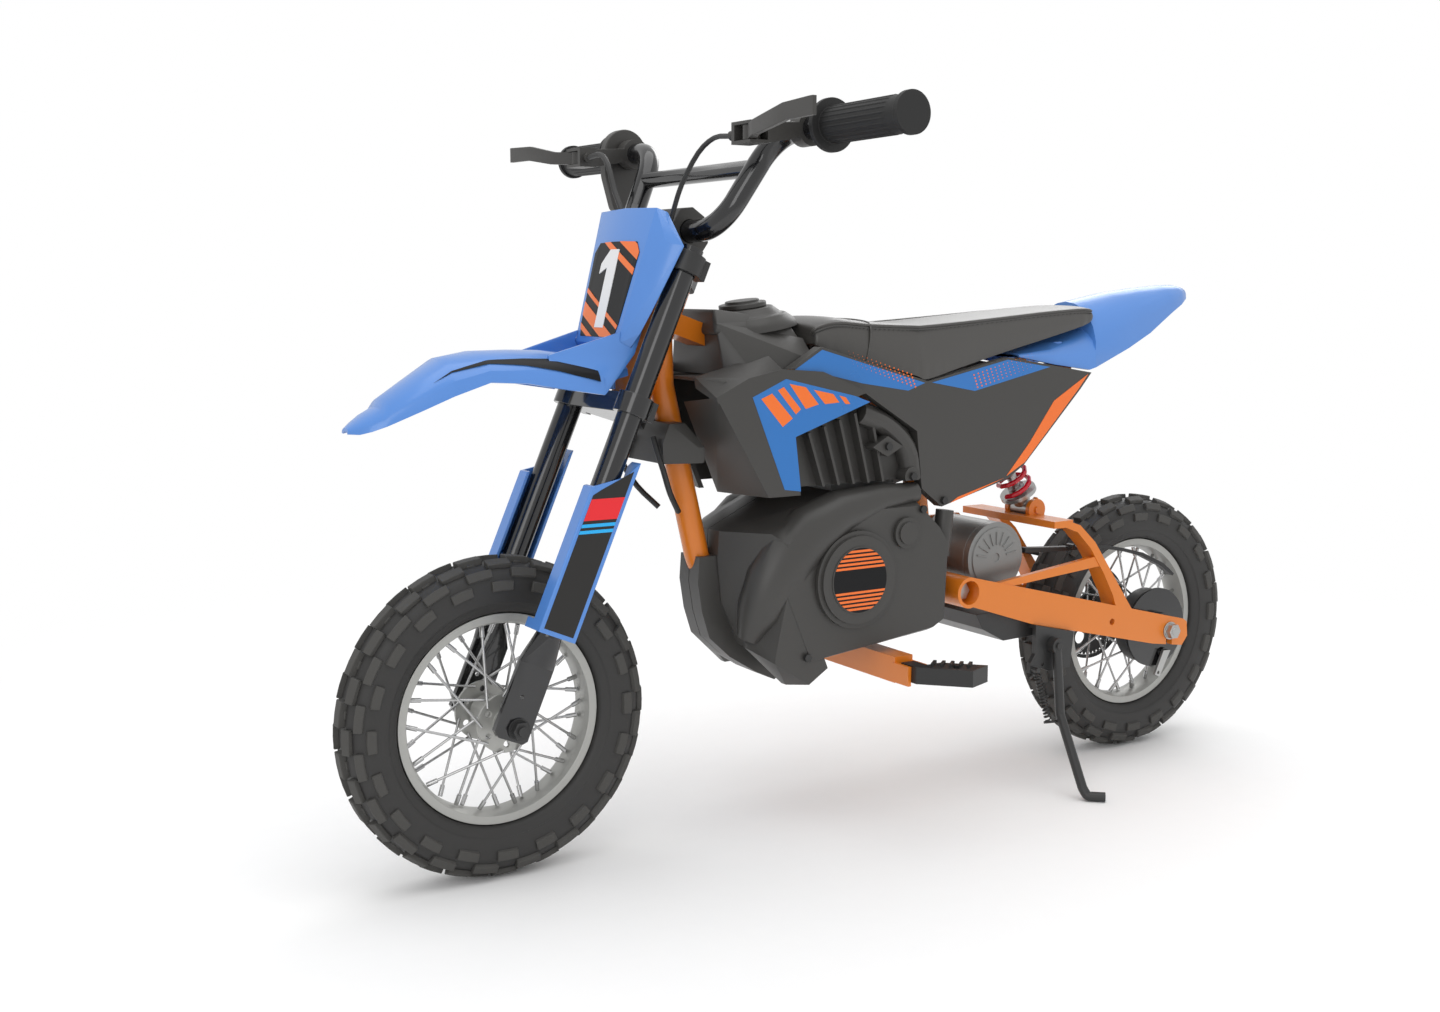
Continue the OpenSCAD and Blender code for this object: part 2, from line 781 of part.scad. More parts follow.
module battery_pack() {
  color(black)
    translate([0, -battery_w / 2, 224.4])
      cube([118, battery_w, 106]);
}

module controller() {
  color(steel)
    translate([-36, -34, cover_top + seat_gap])
      cube([86, 68, 30]);
}

// ---------------------------------------------------------------- body covers
face_y = body_y - 3;  // outer face of the lower covers
cover_top = 360;  // top of the lower covers

nose_pts = [[206, 300], [208, 273], [203, 241], [194, 213], [169, 190], [137, 170], [112, 158], [100, 166],
  [100, 300]];

module engine_cover() {
  difference() {
    union() {
      plate_xz(nose_pts, 0.5, 19);
      hull() {
        plate_xz([[184, 326], [186, 296], [181, 250], [160, 204], [120, 180], [-61, 204], [-78, 212], [-84, 300],
          [-72, 322], [-40, cover_top], [110, cover_top], [140, 340]], 0.5, 22);
        plate_xz([[149, 326], [150, 264], [114, 186], [-58, 202], [-72, 212], [-78, 300], [-66, 320], [-36, 350],
          [100, 350], [130, 336]], 60, 68);
        plate_xz([[138, 316], [138, 262], [108, 190], [-55, 208], [-70, 216], [-74, 300], [-62, 318], [-34, 344],
          [90, 344]], face_y - 1, face_y);
      }
      hull() {
        translate([160, 44, 204])
          cube([6, 6, 6]);
        translate([118, 56, 164])
          cube([10, 8, 6]);
        translate([146, 74, 192])
          cube([6, 6, 6]);
        plate_xz([[110, 165], [86, 180], [120, 262], [138, 262]], face_y - 2, face_y - 1);
        translate([80, 20, 178])
          cube([20, 6, 20]);
      }
      loft([for (i = [0 : pipe_last]) pipe_ring(i, 0)]);
      rod([-76, 66, 284], [-82, 66, 334], 10);
    }
    plate_xz([[196, 292], [196, 244], [186, 217], [163, 196], [112, 170], [104, 176], [104, 292]], -1, 15);
    hull() {
      plate_xz([[176, 320], [178, 296], [173, 252], [154, 208], [120, 186], [-58, 210], [-74, 216], [-78, 300],
        [-68, 318], [-38, 354], [106, 354], [134, 336]], -1, 20);
      plate_xz([[142, 318], [142, 266], [110, 192], [-54, 208], [-68, 216], [-72, 300], [-60, 316], [-34, 344],
        [96, 344]], 57, 58);
      plate_xz([[131, 310], [131, 264], [104, 196], [-52, 214], [-66, 220], [-68, 300], [-56, 314], [-30, 338],
        [86, 338]], face_y - skin_t - 1, face_y - skin_t);
    }
    frame_tubes(tube_r + seat_gap);
    translate([peg_x - 13, -1, peg_z])
      cube([26, tab_low + 4, 50]);
    for (q = bolt_low)
      bar_y(bolt_hole, 60, 100, q.x, q.y);
  }
}

// Moulded exhaust: x, y, z and half height along its sweep
pipe_path = [[-38, 68, 357, 11], [11, 67, 353, 16], [62, 65, 342, 24], [98, 63, 323, 32], [122, 61, 300, 35],
  [141, 58, 272, 32], [156, 54, 243, 24], [165, 48, 214, 12]];
pipe_last = len(pipe_path) - 1;
pipe_flat = 26;  // greatest half depth of the moulding
function pipe_dir(i) = unit([for (k = [0 : 2])
  pipe_path[min(i + 1, pipe_last)][k] - pipe_path[max(i - 1, 0)][k]]);
function pipe_ring(i, grow) = let (q = pipe_path[i], t = pipe_dir(i), b = unit(cross(t, [0, 1, 0])),
  c = unit(cross(b, t)), h = q[3] + grow, d = min(q[3], pipe_flat) + grow)
  [for (a = [0 : 17]) [q.x, q.y, q.z] + h * cos(a * 20) * b + d * sin(a * 20) * c];

bolt_low = [[114, 195], [-37, 340]];
bolt_hole = 2.6;
bolt_high = [[-26, 376], [8, 410]];
bolt_panel = [[-74, 346]];

module engine_covers() { color(charcoal) both() engine_cover(); }

module clutch_cover() {
  color(charcoal) {
    difference() {
      union() {
        bar_y(52, face_y + seat_gap, face_y + 5, 52, 272);
        bar_y(47, face_y + 4, face_y + 8, 52, 272);
        bar_y(36, face_y + 7, face_y + 9, 52, 272);
      }
      loft([for (i = [0 : pipe_last]) pipe_ring(i, seat_gap)]);
    }
    bar_y(17, face_y + seat_gap, face_y + 4, -15, 316);
    bar_y(12, face_y + 3, face_y + 6, -15, 316);
  }
}

module bolt_set(pts, y) {
  for (q = pts) {
    hex_y(4.6, y + seat_gap, y + 4, q.x, q.y);
    bar_y(bolt_hole - 0.1, y - 10, y + 2, q.x, q.y);
  }
}

module cover_bolts() {
  color(black)
    both() {
      bolt_set(bolt_low, face_y);
      bolt_set(bolt_high, grille_y + 2);
      in_panel()
        bolt_set(bolt_panel, 0);
    }
}

// Grille with the moulded elbow behind it
grille_y = 76;
elbow = [[38, 66, 446], [4, 66, 432], [-24, 66, 406], [-34, 66, 372]];

module grille() {
  difference() {
    union() {
      plate_xz([[136, 372], [136, 430], [40, 462], [-20, 440], [-58, 400], [-58, 372]], 58, 61.5);
      for (i = [0 : 4])
        plate_xz([[108 - i * 19.5, 428 + i * 6], [105 - i * 19.5, 429 + i * 6], [86 - i * 19.5, 372],
          [89 - i * 19.5, 372]], 60, grille_y - 3);
      plate_xz([[136, 426], [136, 434], [44, 465], [40, 457]], 59, grille_y - 3);
      plate_xz([[136, 372], [136, 430], [131, 430], [131, 372]], 59, grille_y - 3);
      cable(elbow, 12, 4, 12);
      bar_y(10, 60, grille_y + 2, -26, 376);
      plate_xz([[28, 410], [8, 421], [-12, 409], [8, 399]], 60, grille_y + 2);
    }
    for (q = bolt_high)
      bar_y(bolt_hole, 50, 100, q.x, q.y);
    translate([-100, 0, 360])
      cube([300, 100, 11.5]);
    plate_xz([[-38.4, 371], [-31.6, 424], [45, 473], [45, 500], [-120, 500], [-120, 371]], 61.9, 95);
  }
}

module side_grilles() { color(charcoal) both() grille(); }

module shroud() {
  difference() {
    union() {
      plate_xz([[228, 470], [160, 367], [127, 367], [138, 438], [44, 469], [62, 477], [100, 492], [150, 496],
        [190, 488]], body_y - 4, body_y + 3);
      hull() {
        plate_xz([[228, 470], [226, 464], [150, 495], [190, 488]], body_y + 2, body_y + 3);
        plate_xz([[236, 489], [234, 478], [146, 506], [150, 510]], 58, 59);
      }
      hull() {
        plate_xz([[228, 470], [222, 462], [160, 367], [166, 367]], body_y + 2, body_y + 3);
        plate_xz([[224, 462], [218, 462], [178, 367], [184, 367]], 18, 19);
      }
      hull() {
        translate([180, 18, 486])
          cube([56, 40, 3]);
        translate([180, 60, 482])
          cube([34, 20, 3]);
      }
    }
    plate_xz([[220, 456], [163, 360], [128, 360], [110, 420], [60, 466], [62, 473], [100, 489], [150, 492],
      [186, 484]], 66, body_y - 4);
    frame_tubes(tube_r + 2);
    backbone(2);
    tank_block(seat_gap);
    grille_block();
  }
}

module grille_block() {
  plate_xz([[136.3, 360], [136.3, 434], [36, 468], [0, 460], [0, 360]], 50, grille_y - 2.7);
}

module shroud_left() { color(charcoal) shroud(); }
module shroud_right() { color(charcoal) mirror([0, 1, 0]) shroud(); }

module tank_block(grow) {
  hull() {
    for (s = [-1, 1]) {
      translate([196 + grow, s * (50 + grow), 490 - grow])
        sphere(1, $fn = 8);
      translate([196 + grow, s * (50 + grow), 500])
        sphere(1, $fn = 8);
      translate([198 + grow, s * (40 + grow), 540 + grow])
        sphere(2, $fn = 12);
      translate([98 - grow, s * (68 + grow), 502 - grow])
        sphere(1, $fn = 8);
      translate([170, s * (70 + grow), 488 - grow])
        sphere(1, $fn = 8);
      translate([95 - grow, s * (42 + grow), 524 + grow])
        sphere(1, $fn = 8);
    }
  }
}

tank_top = 556;

module tank_cover() {
  color(charcoal)
    difference() {
      union() {
        tank_block(0);
        hull() {
          for (s = [-1, 1]) {
            translate([198, s * 40, 534])
              sphere(5, $fn = 12);
            translate([194, s * 30, tank_top - 6])
              sphere(5, $fn = 12);
            translate([110, s * 28, tank_top - 16])
              sphere(5, $fn = 12);
            translate([102, s * 36, 524])
              sphere(5, $fn = 12);
          }
        }
      }
      hull() {
        for (s = [-1, 1]) {
          translate([190, s * 44, 480])
            sphere(2, $fn = 12);
          translate([198, s * 40, 536])
            sphere(2, $fn = 12);
          translate([104, s * 60, 480])
            sphere(2, $fn = 12);
          translate([104, s * 30, 528])
            sphere(2, $fn = 12);
          translate([188, s * 32, tank_top - 9])
            sphere(2, $fn = 12);
        }
      }
      backbone(seat_gap);
      frame_tubes(tube_r + 2);
    }
}

module filler_cap() {
  color(black) {
    translate([140, 0, 546])
      rotate([0, 8, 0]) {
        translate([0, 0, 10])
          cylinder(r = 25, h = 5);
        translate([0, 0, 14])
          cylinder(r = 18, h = 4);
      }
  }
}

panel_turn = 3.2;

// A side panel's own frame: it turns inwards towards the rear
module in_panel() {
  translate([143, body_y, 0])
    rotate([0, 0, panel_turn])
      translate([-143, 0, 0])
        children();
}

module side_panel() {
  in_panel()
    difference() {
      plate_xz([[138, 495.5], [99, 517], [-49, 477], [-171, 499.5], [-306, 478.5], [-288, 460], [-198, 377],
        [-173, 363], [-72, 339], [-42, 361], [-34, 424], [43, 469.4], [62, 477.4], [100, 492.4]], -12, 0);
      plate_xz([[60, 500], [-49, 471], [-171, 493.5], [-292, 474.5], [-284, 464], [-194, 381], [-171, 369],
        [-74, 346], [-50, 363], [-40, 427], [34, 473], [60, 485]], -13, -skin_t);
      for (q = bolt_panel)
        bar_y(bolt_hole, -20, 5, q.x, q.y);
    }
}

module side_panel_left() {
  color(charcoal)
    difference() {
      side_panel();
      cover_gap();
    }
}

module side_panel_right() {
  color(charcoal)
    mirror([0, 1, 0])
      difference() {
        side_panel();
        cover_gap();
      }
}

module cover_gap() {
  plate_xz([[-150, 300], [-90, 300], [-72, 323], [-36, 367], [0, 367], [0, 300]], 0, face_y + 1);
}

// Seat sections: x, bottom edge, half width there, side crease height and half width, crown
seat_rings = [[89, 517, 56, 527, 50, 531], [84, 516, 59, 535, 54, 541], [61, 509, 63, 540, 58, 547],
  [20, 497, 69, 537, 62, 543], [-32, 483, 74, 535, 65, 539], [-49, 479, 74, 535, 65, 538],
  [-100, 490, 69, 538, 62, 540], [-171, 505, 61, 543, 57, 546], [-240, 519, 55, 548, 52, 552],
  [-300, 532, 50, 551, 48, 556], [-317, 538, 47, 549, 45, 553]];

function seat_ring(q, k) = [for (v = [[q[2], q[1]], [q[4] + 2, q[3] - 4], [q[4] - 6, q[3] + 0.5],
  [q[4] * 0.5, q[5] - 0.6], [0, q[5]], [-q[4] * 0.5, q[5] - 0.6], [6 - q[4], q[3] + 0.5], [-q[4] - 2, q[3] - 4],
  [-q[2], q[1]]]) [q[0], k * v.x, v.y]];

module seat() {
  color([0.25, 0.24, 0.23])
    loft([for (q = seat_rings) seat_ring(q, seat_w / 148)]);
}

fender_back = [[-194, 499, 505, 58], [-250, 489, 517, 57], [-306, 481.5, 530, 56], [-317.6, 484, 534, 55],
  [-318.6, 484, 560, 54], [-380, 505, 571, 46], [-425, 522, 576, 37], [-470, 545, 579.5, 28],
  [-496, 556, 580, 21], [-512, 563, 577, 13], [-518, 567, 573, 7]];

module rear_fender() {
  color(blue)
    difference() {
      union() {
        loft([for (q = fender_back) fender_ring(q[0], q[1], q[2], q[3], skin_t)]);
        both()
          translate([-270, 36, 493.9])
            cylinder(r = 7, h = 20.5);
      }
      both()
        rod(rail_a, rail_b + unit(rail_b - rail_a), 10);
    }
}

module front_cover() {
  color(charcoal)
    difference() {
      hull() {
        translate([218, -50, 402])
          cube([8, 100, 16]);
        translate([236, -38, 402])
          cube([24, 76, 22]);
        translate([232, -34, 434])
          cube([18, 68, 8]);
      }
      frame_tubes(tube_r + 1);
      translate([180, -100, 380])
        rotate([0, -17, 0])
          cube([44, 200, 100]);
    }
}

module frame_cables() {
  color(black) {
    cable([[263.4, 24, 428], [263.6, 34, 412], [262, 42, 396], [250, 34, 372], [232, 20, 350]], 3);
    cable([[263.4, -24, 428], [263.6, -34, 412], [262, -42, 396], [250, -34, 372], [232, -20, 350]], 3);
  }
}

// ---------------------------------------------------------------- swingarm
arm_pts = [[-118, 222], [-203, 194], [-402, 147], [-454, 139], [-463, 150], [-461, 168], [-455, 172], [-140, 250],
  [-112, 257], [-104, 250], [-102, 228]];
arch_out = [[-372, 184], [-345, 220], [-324, 249], [-300, 281], [-275, 303], [-254, 310], [-234, 310], [-234, 302],
  [-252, 302], [-271, 295], [-293, 274], [-315, 243], [-332, 214], [-340, 194]];
arch_in = 56;  // inner face of the arch strip
shock_low = [-262, 0, 315];
motor_at = [-172, 0, 270];
motor_r = motor_d / 2;
plate_y = -48;  // motor plate, right side
deck_z = 306;
deck_front = -234;
deck_back = -264;

module swingarm() {
  color(orange)
    difference() {
      union() {
        both() {
          bar_y(pivot_d / 2, arm_root, arm_out, pivot.x, pivot.z);
          plate_xz(arm_pts, arm_in, arm_out);
          plate_xz(arch_out, arch_in, arm_out);
          plate_xz([[-146, 246], [-156, 240], [-318, 252], [-308, 264]], arm_in, arm_out - 1);
          plate_xz([[-274, 304], [-274, 318], [-262, 330], [-250, 318], [-250, 304]], shock_half, shock_half + 6);
          bar_y(13, shock_half, shock_half + 6, shock_low.x, shock_low.z);
        }
        translate([deck_back, -arm_out + 1, deck_z - 4])
          cube([deck_front - deck_back, 2 * arm_out - 2, 8]);
        bar_y(9, -arm_in - 1, arm_in + 1, -232, 192);
        plate_xz([[-109, 257], [-150, 309], [-196, 309], [-214, 290], [-216, 262], [-196, 232], [-160, 224],
          [-118, 224]], plate_y, plate_y + 5);
        bar_y(4, -shock_half - 8, shock_half + 8, shock_low.x, shock_low.z);
      }
      bar_y(shaft_d / 2 + slip, -100, 100, pivot.x, pivot.z);
      both() {
        bar_y(pivot_d / 2 - 4, bush_end, 100, pivot.x, pivot.z);
        bar_y(4, arm_in - 1, arm_out + 1, -332, 182);
        bar_y(axle_r + slip, arm_in - 1, arm_out + 1, rear_x, wheel_r);
        translate([rear_x - axle_r - slip, arm_in - 1, wheel_r - 40])
          cube([axle_d + 2 * slip, arm_t + 2, 40]);
      }
      bar_y(9, plate_y - 1, plate_y + 6, motor_at.x, motor_at.z);
      bar_y(pivot_d / 2 + 1, -pivot_half, pivot_half, pivot.x, pivot.z);
      translate([shock_low.x - 12.5, -shock_half + 0.1, shock_low.z - 12.5])
        cube([25, 2 * shock_half - 0.2, 8]);
    }
}

motor_in = plate_y + 5 + slip;
motor_out = motor_in + motor_len;

module motor_can() {
  color(steel)
    difference() {
      bar_y(motor_r, motor_in, motor_out - 12, motor_at.x, motor_at.z);
      bar_y(5.05, motor_in - 1, motor_in + 40, motor_at.x, motor_at.z);
    }
}

module motor_bell() {
  color([0.45, 0.45, 0.45])
    difference() {
      union() {
        bar_y(motor_r, motor_out - 11.7, motor_out - 3, motor_at.x, motor_at.z);
        bar_y(motor_r - 6, motor_out - 4, motor_out - 1.6, motor_at.x, motor_at.z);
        for (i = [0 : 8])
          translate([motor_at.x, motor_out - 3.5, motor_at.z])
            rotate([0, -10 - i * 20, 0])
              translate([15, 0, -0.8])
                cube([15, 3.5, 1.6]);
      }
      bar_y(5, motor_out - 3, motor_out + 2, motor_at.x, motor_at.z);
    }
}

module motor() {
  motor_can();
  motor_bell();
}

strip_pts = [[-218, 271], [-277, 268], [-320, 267], [-351, 264], [-382, 258], [-411, 250], [-446, 234], [-467, 220],
  [-469, 223], [-449, 238], [-413, 254], [-382, 262], [-351, 268], [-320, 271], [-277, 273], [-218, 277]];

module wheel_strip() {
  color(black) {
    plate_xz(strip_pts, 40, 50);
    plate_xz([[-292, 276], [-288, 275], [-286, 270], [-292, 270]], 44, arch_in - seat_gap);
  }
}

module motor_mount() {
  color(black)
    plate_xz([[-126, 212], [-136, 194], [-168, 177], [-214, 178], [-218, 204], [-190, 214]], seat_gap - arm_in,
      arm_in - seat_gap);
}

chain_y = -53.5;
chain_w = 4;
rear_pitch_r = rear_teeth * chain_pitch / (2 * PI);
motor_pitch_r = motor_teeth * chain_pitch / (2 * PI);
tooth_h = 1.6;

module sprocket_2d(teeth, pitch_r) {
  step = 360 / teeth;
  polygon([for (i = [0 : teeth - 1]) each
    [(pitch_r - 1.6) * [cos((i - 0.28) * step), sin((i - 0.28) * step)],
     (pitch_r + tooth_h) * [cos((i - 0.1) * step), sin((i - 0.1) * step)],
     (pitch_r + tooth_h) * [cos((i + 0.1) * step), sin((i + 0.1) * step)],
     (pitch_r - 1.6) * [cos((i + 0.28) * step), sin((i + 0.28) * step)]]]);
}

module rear_sprocket() {
  color(steel)
    difference() {
      translate([rear_x, chain_y + 1.5, wheel_r])
        rotate([90, 0, 0])
          linear_extrude(3)
            sprocket_2d(rear_teeth, rear_pitch_r);
      bar_y(15, chain_y - 3, chain_y + 3, rear_x, wheel_r);
      for (i = [0 : 5])
        translate([rear_x, 0, wheel_r])
          rotate([0, i * 60, 0])
            bar_y(9, chain_y - 3, chain_y + 3, 36, 0);
    }
}

module motor_sprocket() {
  color(steel) {
    translate([motor_at.x, chain_y + 1.5, motor_at.z])
      rotate([90, 0, 0])
        linear_extrude(3)
          sprocket_2d(motor_teeth, motor_pitch_r);
    bar_y(5, chain_y - 4, motor_in + 30, motor_at.x, motor_at.z);
  }
}

module belt_2d(grow) {
  hull() {
    translate([rear_x, -wheel_r])
      circle(rear_pitch_r + tooth_h + 0.4 + grow, $fn = 96);
    translate([motor_at.x, -motor_at.z])
      circle(motor_pitch_r + tooth_h + 0.4 + grow, $fn = 48);
  }
}

module chain() {
  color(steel)
    translate([0, chain_y + chain_w / 2, 0])
      rotate([90, 0, 0])
        linear_extrude(chain_w)
          mirror([0, 1, 0])
            difference() {
              belt_2d(4.5);
              belt_2d(0);
            }
}

drum_r = 46;
drum_in = 34;
drum_out = 54;

module rear_hub() {
  color(steel)
    at_rear()
      difference() {
        union() {
          bar_y(14, -50.5, drum_out);
          bar_y(17, -hub_flange_y + 8, hub_flange_y - 8);
          both()
            bar_y(hub_flange_r, hub_flange_y - hub_flange_t, hub_flange_y);
          bar_y(30, -51.7, -48);
          difference() {
            bar_y(drum_r, drum_in, drum_out);
            bar_y(drum_r - 5, drum_in + 4, drum_out + 1);
          }
        }
        bar_y(axle_r + slip, -60, 60);
        for (i = [0 : 5])
          rotate([0, 30 + i * 60, 0])
            bar_y(3.2, -hub_flange_y - 1, hub_flange_y + 1, 21.5, 0);
      }
}

cam = [-445, 61, 126];

module brake_cover() {
  color(black)
    difference() {
      union() {
        bar_y(drum_r + 3, drum_out + 0.4, drum_out + 4, rear_x, wheel_r);
        bar_y(20, drum_out + 3, arm_in - 3, rear_x, wheel_r);
        bar_y(7, drum_out + 3, drum_out + 7, cam.x, cam.z);
        plate_xz([[-398, 150], [-380, 152], [-378, 172], [-398, 172]], drum_out + 1, arm_in - slip);
      }
      bar_y(axle_r + slip, 40, 80, rear_x, wheel_r);
      bar_y(3.05, 40, 80, cam.x, cam.z);
    }
}

module brake_arm() {
  color(steel)
    difference() {
      union() {
        bar_y(3, drum_out + 1, drum_out + 10, cam.x, cam.z);
        plate_xz([[cam.x - 6, cam.z + 4], [cam.x + 6, cam.z + 5], [cam.x + 20, cam.z - 24], [cam.x + 12, cam.z - 28]],
          drum_out + 7.5, drum_out + 11);
      }
      bar_y(2, drum_out, arm_in, cam.x + 14, cam.z - 22);
    }
}

module rear_axle() {
  color([0.5, 0.5, 0.5])
    at_rear() {
      bar_y(axle_r, -arm_out - 2 - nut_t - 1, arm_out + 2 + nut_t + 1);
      both() {
        bar_y(nut_r + 1.5, arm_out + slip, arm_out + 2);
        hex_y(nut_r, arm_out + 2, arm_out + 2 + nut_t);
      }
      bar_y(8, -arm_in + slip, -52);
      bar_y(8, arm_in - 2.9, arm_in - slip);
    }
}

stand_at = [-230, 168];
stand_y = arm_out + 9;

module stand_bracket() {
  color(charcoal)
    difference() {
      union() {
        plate_xz([[-204, 193.4], [-264, 179.2], [-259, 138], [-226, 137], [-213, 142], [-205, 136], [-196, 138],
          [-197, 150], [-204, 160]], arm_out + seat_gap, arm_out + 6);
        plate_xz([[-204, 193.4], [-264, 179.2], [-264, 175], [-204, 189]], arm_in + 1, arm_out + 5);
        bar_y(3, arm_out + 1, arm_out + 16, -200, 142.7);
        bar_y(4, arm_out + 1, stand_y + 10, stand_at.x, stand_at.y);
      }
      bar_y(2, arm_out, arm_out + 7, -216, 146);
    }
}

module kickstand() {
  color(charcoal) {
    difference() {
      union() {
        bar_y(9, arm_out + 6.5, stand_y + 8, stand_at.x, stand_at.y);
        bent_tube([[stand_at.x, 93.5, stand_at.y - 2], [-234, 98, 87], [-225, 146, 14], [-226, 153, 5.5],
          [-241, 166, 5.5]], 5.5, 6);
      }
      bar_y(4.05, arm_out, stand_y + 12, stand_at.x, stand_at.y);
    }
    stand_spring([-202, 92, 138], [-220, 93, 82]);
    rod([-215, 92, 78.9], [-234, 98, 79.2], 1.6);
  }
}

// The return spring beside the leg
module stand_spring(a, b) {
  v = b - a;
  turns = 14;
  translate(a)
    rotate([0, acos(v.z / norm(v)), atan2(v.y, v.x)])
      loft([for (i = [0 : turns * 10]) let (t = i * 36, z = norm(v) * i / (turns * 10))
        [for (k = [0 : 5]) let (c = k * 60)
          [(3.6 + 0.9 * cos(c)) * cos(t), (3.6 + 0.9 * cos(c)) * sin(t), z + 0.9 * sin(c)]]]);
}

peg_pts = [[-6.5, 109], [10.5, 109], [10.5, 135], [-30, 178], [-60, 167], [-26, 131], [-6.5, 131]];

module peg() {
  difference() {
    union() {
      translate([0, 0, peg_z - 9])
        linear_extrude(18)
          polygon(peg_pts);
      for (i = [0 : 4])
        translate([-8 - i * 7, 141 + i * 6.3, peg_z])
          rotate([0, 0, 220])
            cube([17, 3.5, 12]);
    }
    rod([-20, peg_y, peg_z], [30, peg_y, peg_z], 4.05);
    translate([-29, 148, peg_z - 20])
      rotate([0, 0, 45])
        cube([14, 7, 40]);
  }
}

module peg_left() { color(black) peg(); }
module peg_right() { color(black) mirror([0, 1, 0]) peg(); }

// ---------------------------------------------------------------- shock
shock_dir = unit(shock_top - shock_low);
shock_len = norm(shock_top - shock_low);
low_slack = 1.2;  // room round the lower bolt: this pivot is the open end of the linkage

module along_shock() {
  translate(shock_low)
    rotate([0, acos(shock_dir.z), 0])
      children();
}

module shock_body() {
  color(charcoal) {
    along_shock() {
      difference() {
        union() {
          translate([0, 0, shock_len - 60])
            cylinder(r = 13, h = 50);
          translate([0, 0, shock_len - 34])
            cylinder(r = spring_d / 2 + 1, h = 5);
          bar_y(11, -shock_half + 0.4, shock_half - 0.4, 0, shock_len);
        }
        translate([0, 0, shock_len - 61])
          cylinder(r = 6.05, h = 48);
        bar_y(6.05, -20, 20, 0, shock_len);
      }
    }
  }
}

module shock_rod() {
  color(steel) {
    along_shock() {
      difference() {
        union() {
          cylinder(r = 6, h = shock_len - 44);
          translate([0, 0, 20])
            cylinder(r = spring_d / 2 + 1, h = 5);
          translate([0, 0, 8])
            cylinder(r = 10, h = 24);
          bar_y(11, -shock_half + 0.4, shock_half - 0.4, 0, 0);
        }
        bar_y(4 + low_slack, -20, 20, 0, 0);
      }
    }
  }
}

coils = 7;

module shock_spring() {
  start = 25 + seat_gap + spring_wire / 2;
  end = shock_len - 34 - seat_gap - spring_wire / 2;
  mean_r = spring_d / 2 - spring_wire / 2;
  color(red)
    along_shock()
      loft([for (i = [0 : coils * 12]) let (a = i * 30, z = start + (end - start) * i / (coils * 12))
        [for (k = [0 : 7]) let (b = k * 45)
          [(mean_r + spring_wire / 2 * cos(b)) * cos(a), (mean_r + spring_wire / 2 * cos(b)) * sin(a),
           z + spring_wire / 2 * sin(b)]]]);
}

module bar_cables() {
  color(black) {
    cable([[246, 141, 715], [244, 110, 716], [246, 84, 704], [250, 60, 676], [253, 48, 650], [258, 44, 629],
      [268, 44, 602], [283, 44, 568]], 2.5);
    cable([[246, -141, 715], [246, -116, 716], [250, -92, 704], [252, -74, 676], [254, -52, 650], [258, -44, 629],
      [268, -44, 602], [283, -44, 568]], 3);
  }
}

main_frame();
head_bearings();
engine_covers();
front_cover();
shroud_left();
shroud_right();
side_grilles();
tank_cover();
filler_cap();
side_panel_left();
side_panel_right();
seat();
rear_fender();
clutch_cover();
battery_pack();
controller();
cover_bolts();
pivot_shaft();
frame_cables();
steerer();
top_clamp();
bar_clamp();
handlebar();
left_grip();
lever_perches();
throttle_housing();
number_plate();
front_fender();
fork_legs();
fork_guards();
front_axle();
bar_cables();
left_lever();
right_lever();
throttle_grip();
front_tyre();
front_rim();
front_hub();
front_spokes();
swingarm();
motor();
brake_cover();
brake_arm();
motor_mount();
wheel_strip();
chain();
rear_axle();
stand_bracket();
rear_tyre();
rear_rim();
rear_hub();
rear_spokes();
rear_sprocket();
motor_sprocket();
kickstand();
peg_left();
peg_right();
shock_body();
shock_rod();
shock_spring();
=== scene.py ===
import json
import math
import bmesh
import bpy
import numpy as np
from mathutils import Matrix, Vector
from mathutils.bvhtree import BVHTree


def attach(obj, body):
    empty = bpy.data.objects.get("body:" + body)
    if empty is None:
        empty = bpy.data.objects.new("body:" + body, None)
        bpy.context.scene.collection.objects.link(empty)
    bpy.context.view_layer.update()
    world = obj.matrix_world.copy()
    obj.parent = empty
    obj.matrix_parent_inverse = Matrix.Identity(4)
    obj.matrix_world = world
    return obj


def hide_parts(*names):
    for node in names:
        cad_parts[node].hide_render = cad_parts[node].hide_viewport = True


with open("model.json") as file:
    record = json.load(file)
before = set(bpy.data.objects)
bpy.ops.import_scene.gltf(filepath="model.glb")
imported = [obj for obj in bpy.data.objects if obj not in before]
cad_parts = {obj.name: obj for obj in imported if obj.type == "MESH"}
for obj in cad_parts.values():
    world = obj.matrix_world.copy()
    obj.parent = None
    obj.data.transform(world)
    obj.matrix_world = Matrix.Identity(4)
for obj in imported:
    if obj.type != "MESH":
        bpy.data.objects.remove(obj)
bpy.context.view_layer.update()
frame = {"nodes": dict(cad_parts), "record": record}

mm = 0.001
wheels = {"axleX": 431.0, "axleZ": 160.0, "rake": 23.5}   # front axle at +axleX, rear at -axleX
bodies = frame["record"]["behaviour"]["bodies"]
bodyOf = {node: body for body, members in bodies.items() for node in members}


# ---- meshes ----

def gridFaces(rows, cols, loopRows=False, loopCols=False):
    # each face joins a point of the grid to the next one along the row and along the column
    a, b = np.meshgrid(np.arange(rows if loopRows else rows - 1),
                       np.arange(cols if loopCols else cols - 1), indexing="ij")
    a1, b1 = (a + 1) % rows, (b + 1) % cols
    corners = [a * cols + b, a * cols + b1, a1 * cols + b1, a1 * cols + b]
    return np.stack(corners, -1).reshape(-1, 4)


def dress(obj, material, body, nodes=()):
    obj.data.materials.clear()
    for m in material if isinstance(material, (list, tuple)) else [material]:
        obj.data.materials.append(m)
    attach(obj, body)
    if nodes:
        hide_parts(*nodes)
    return obj


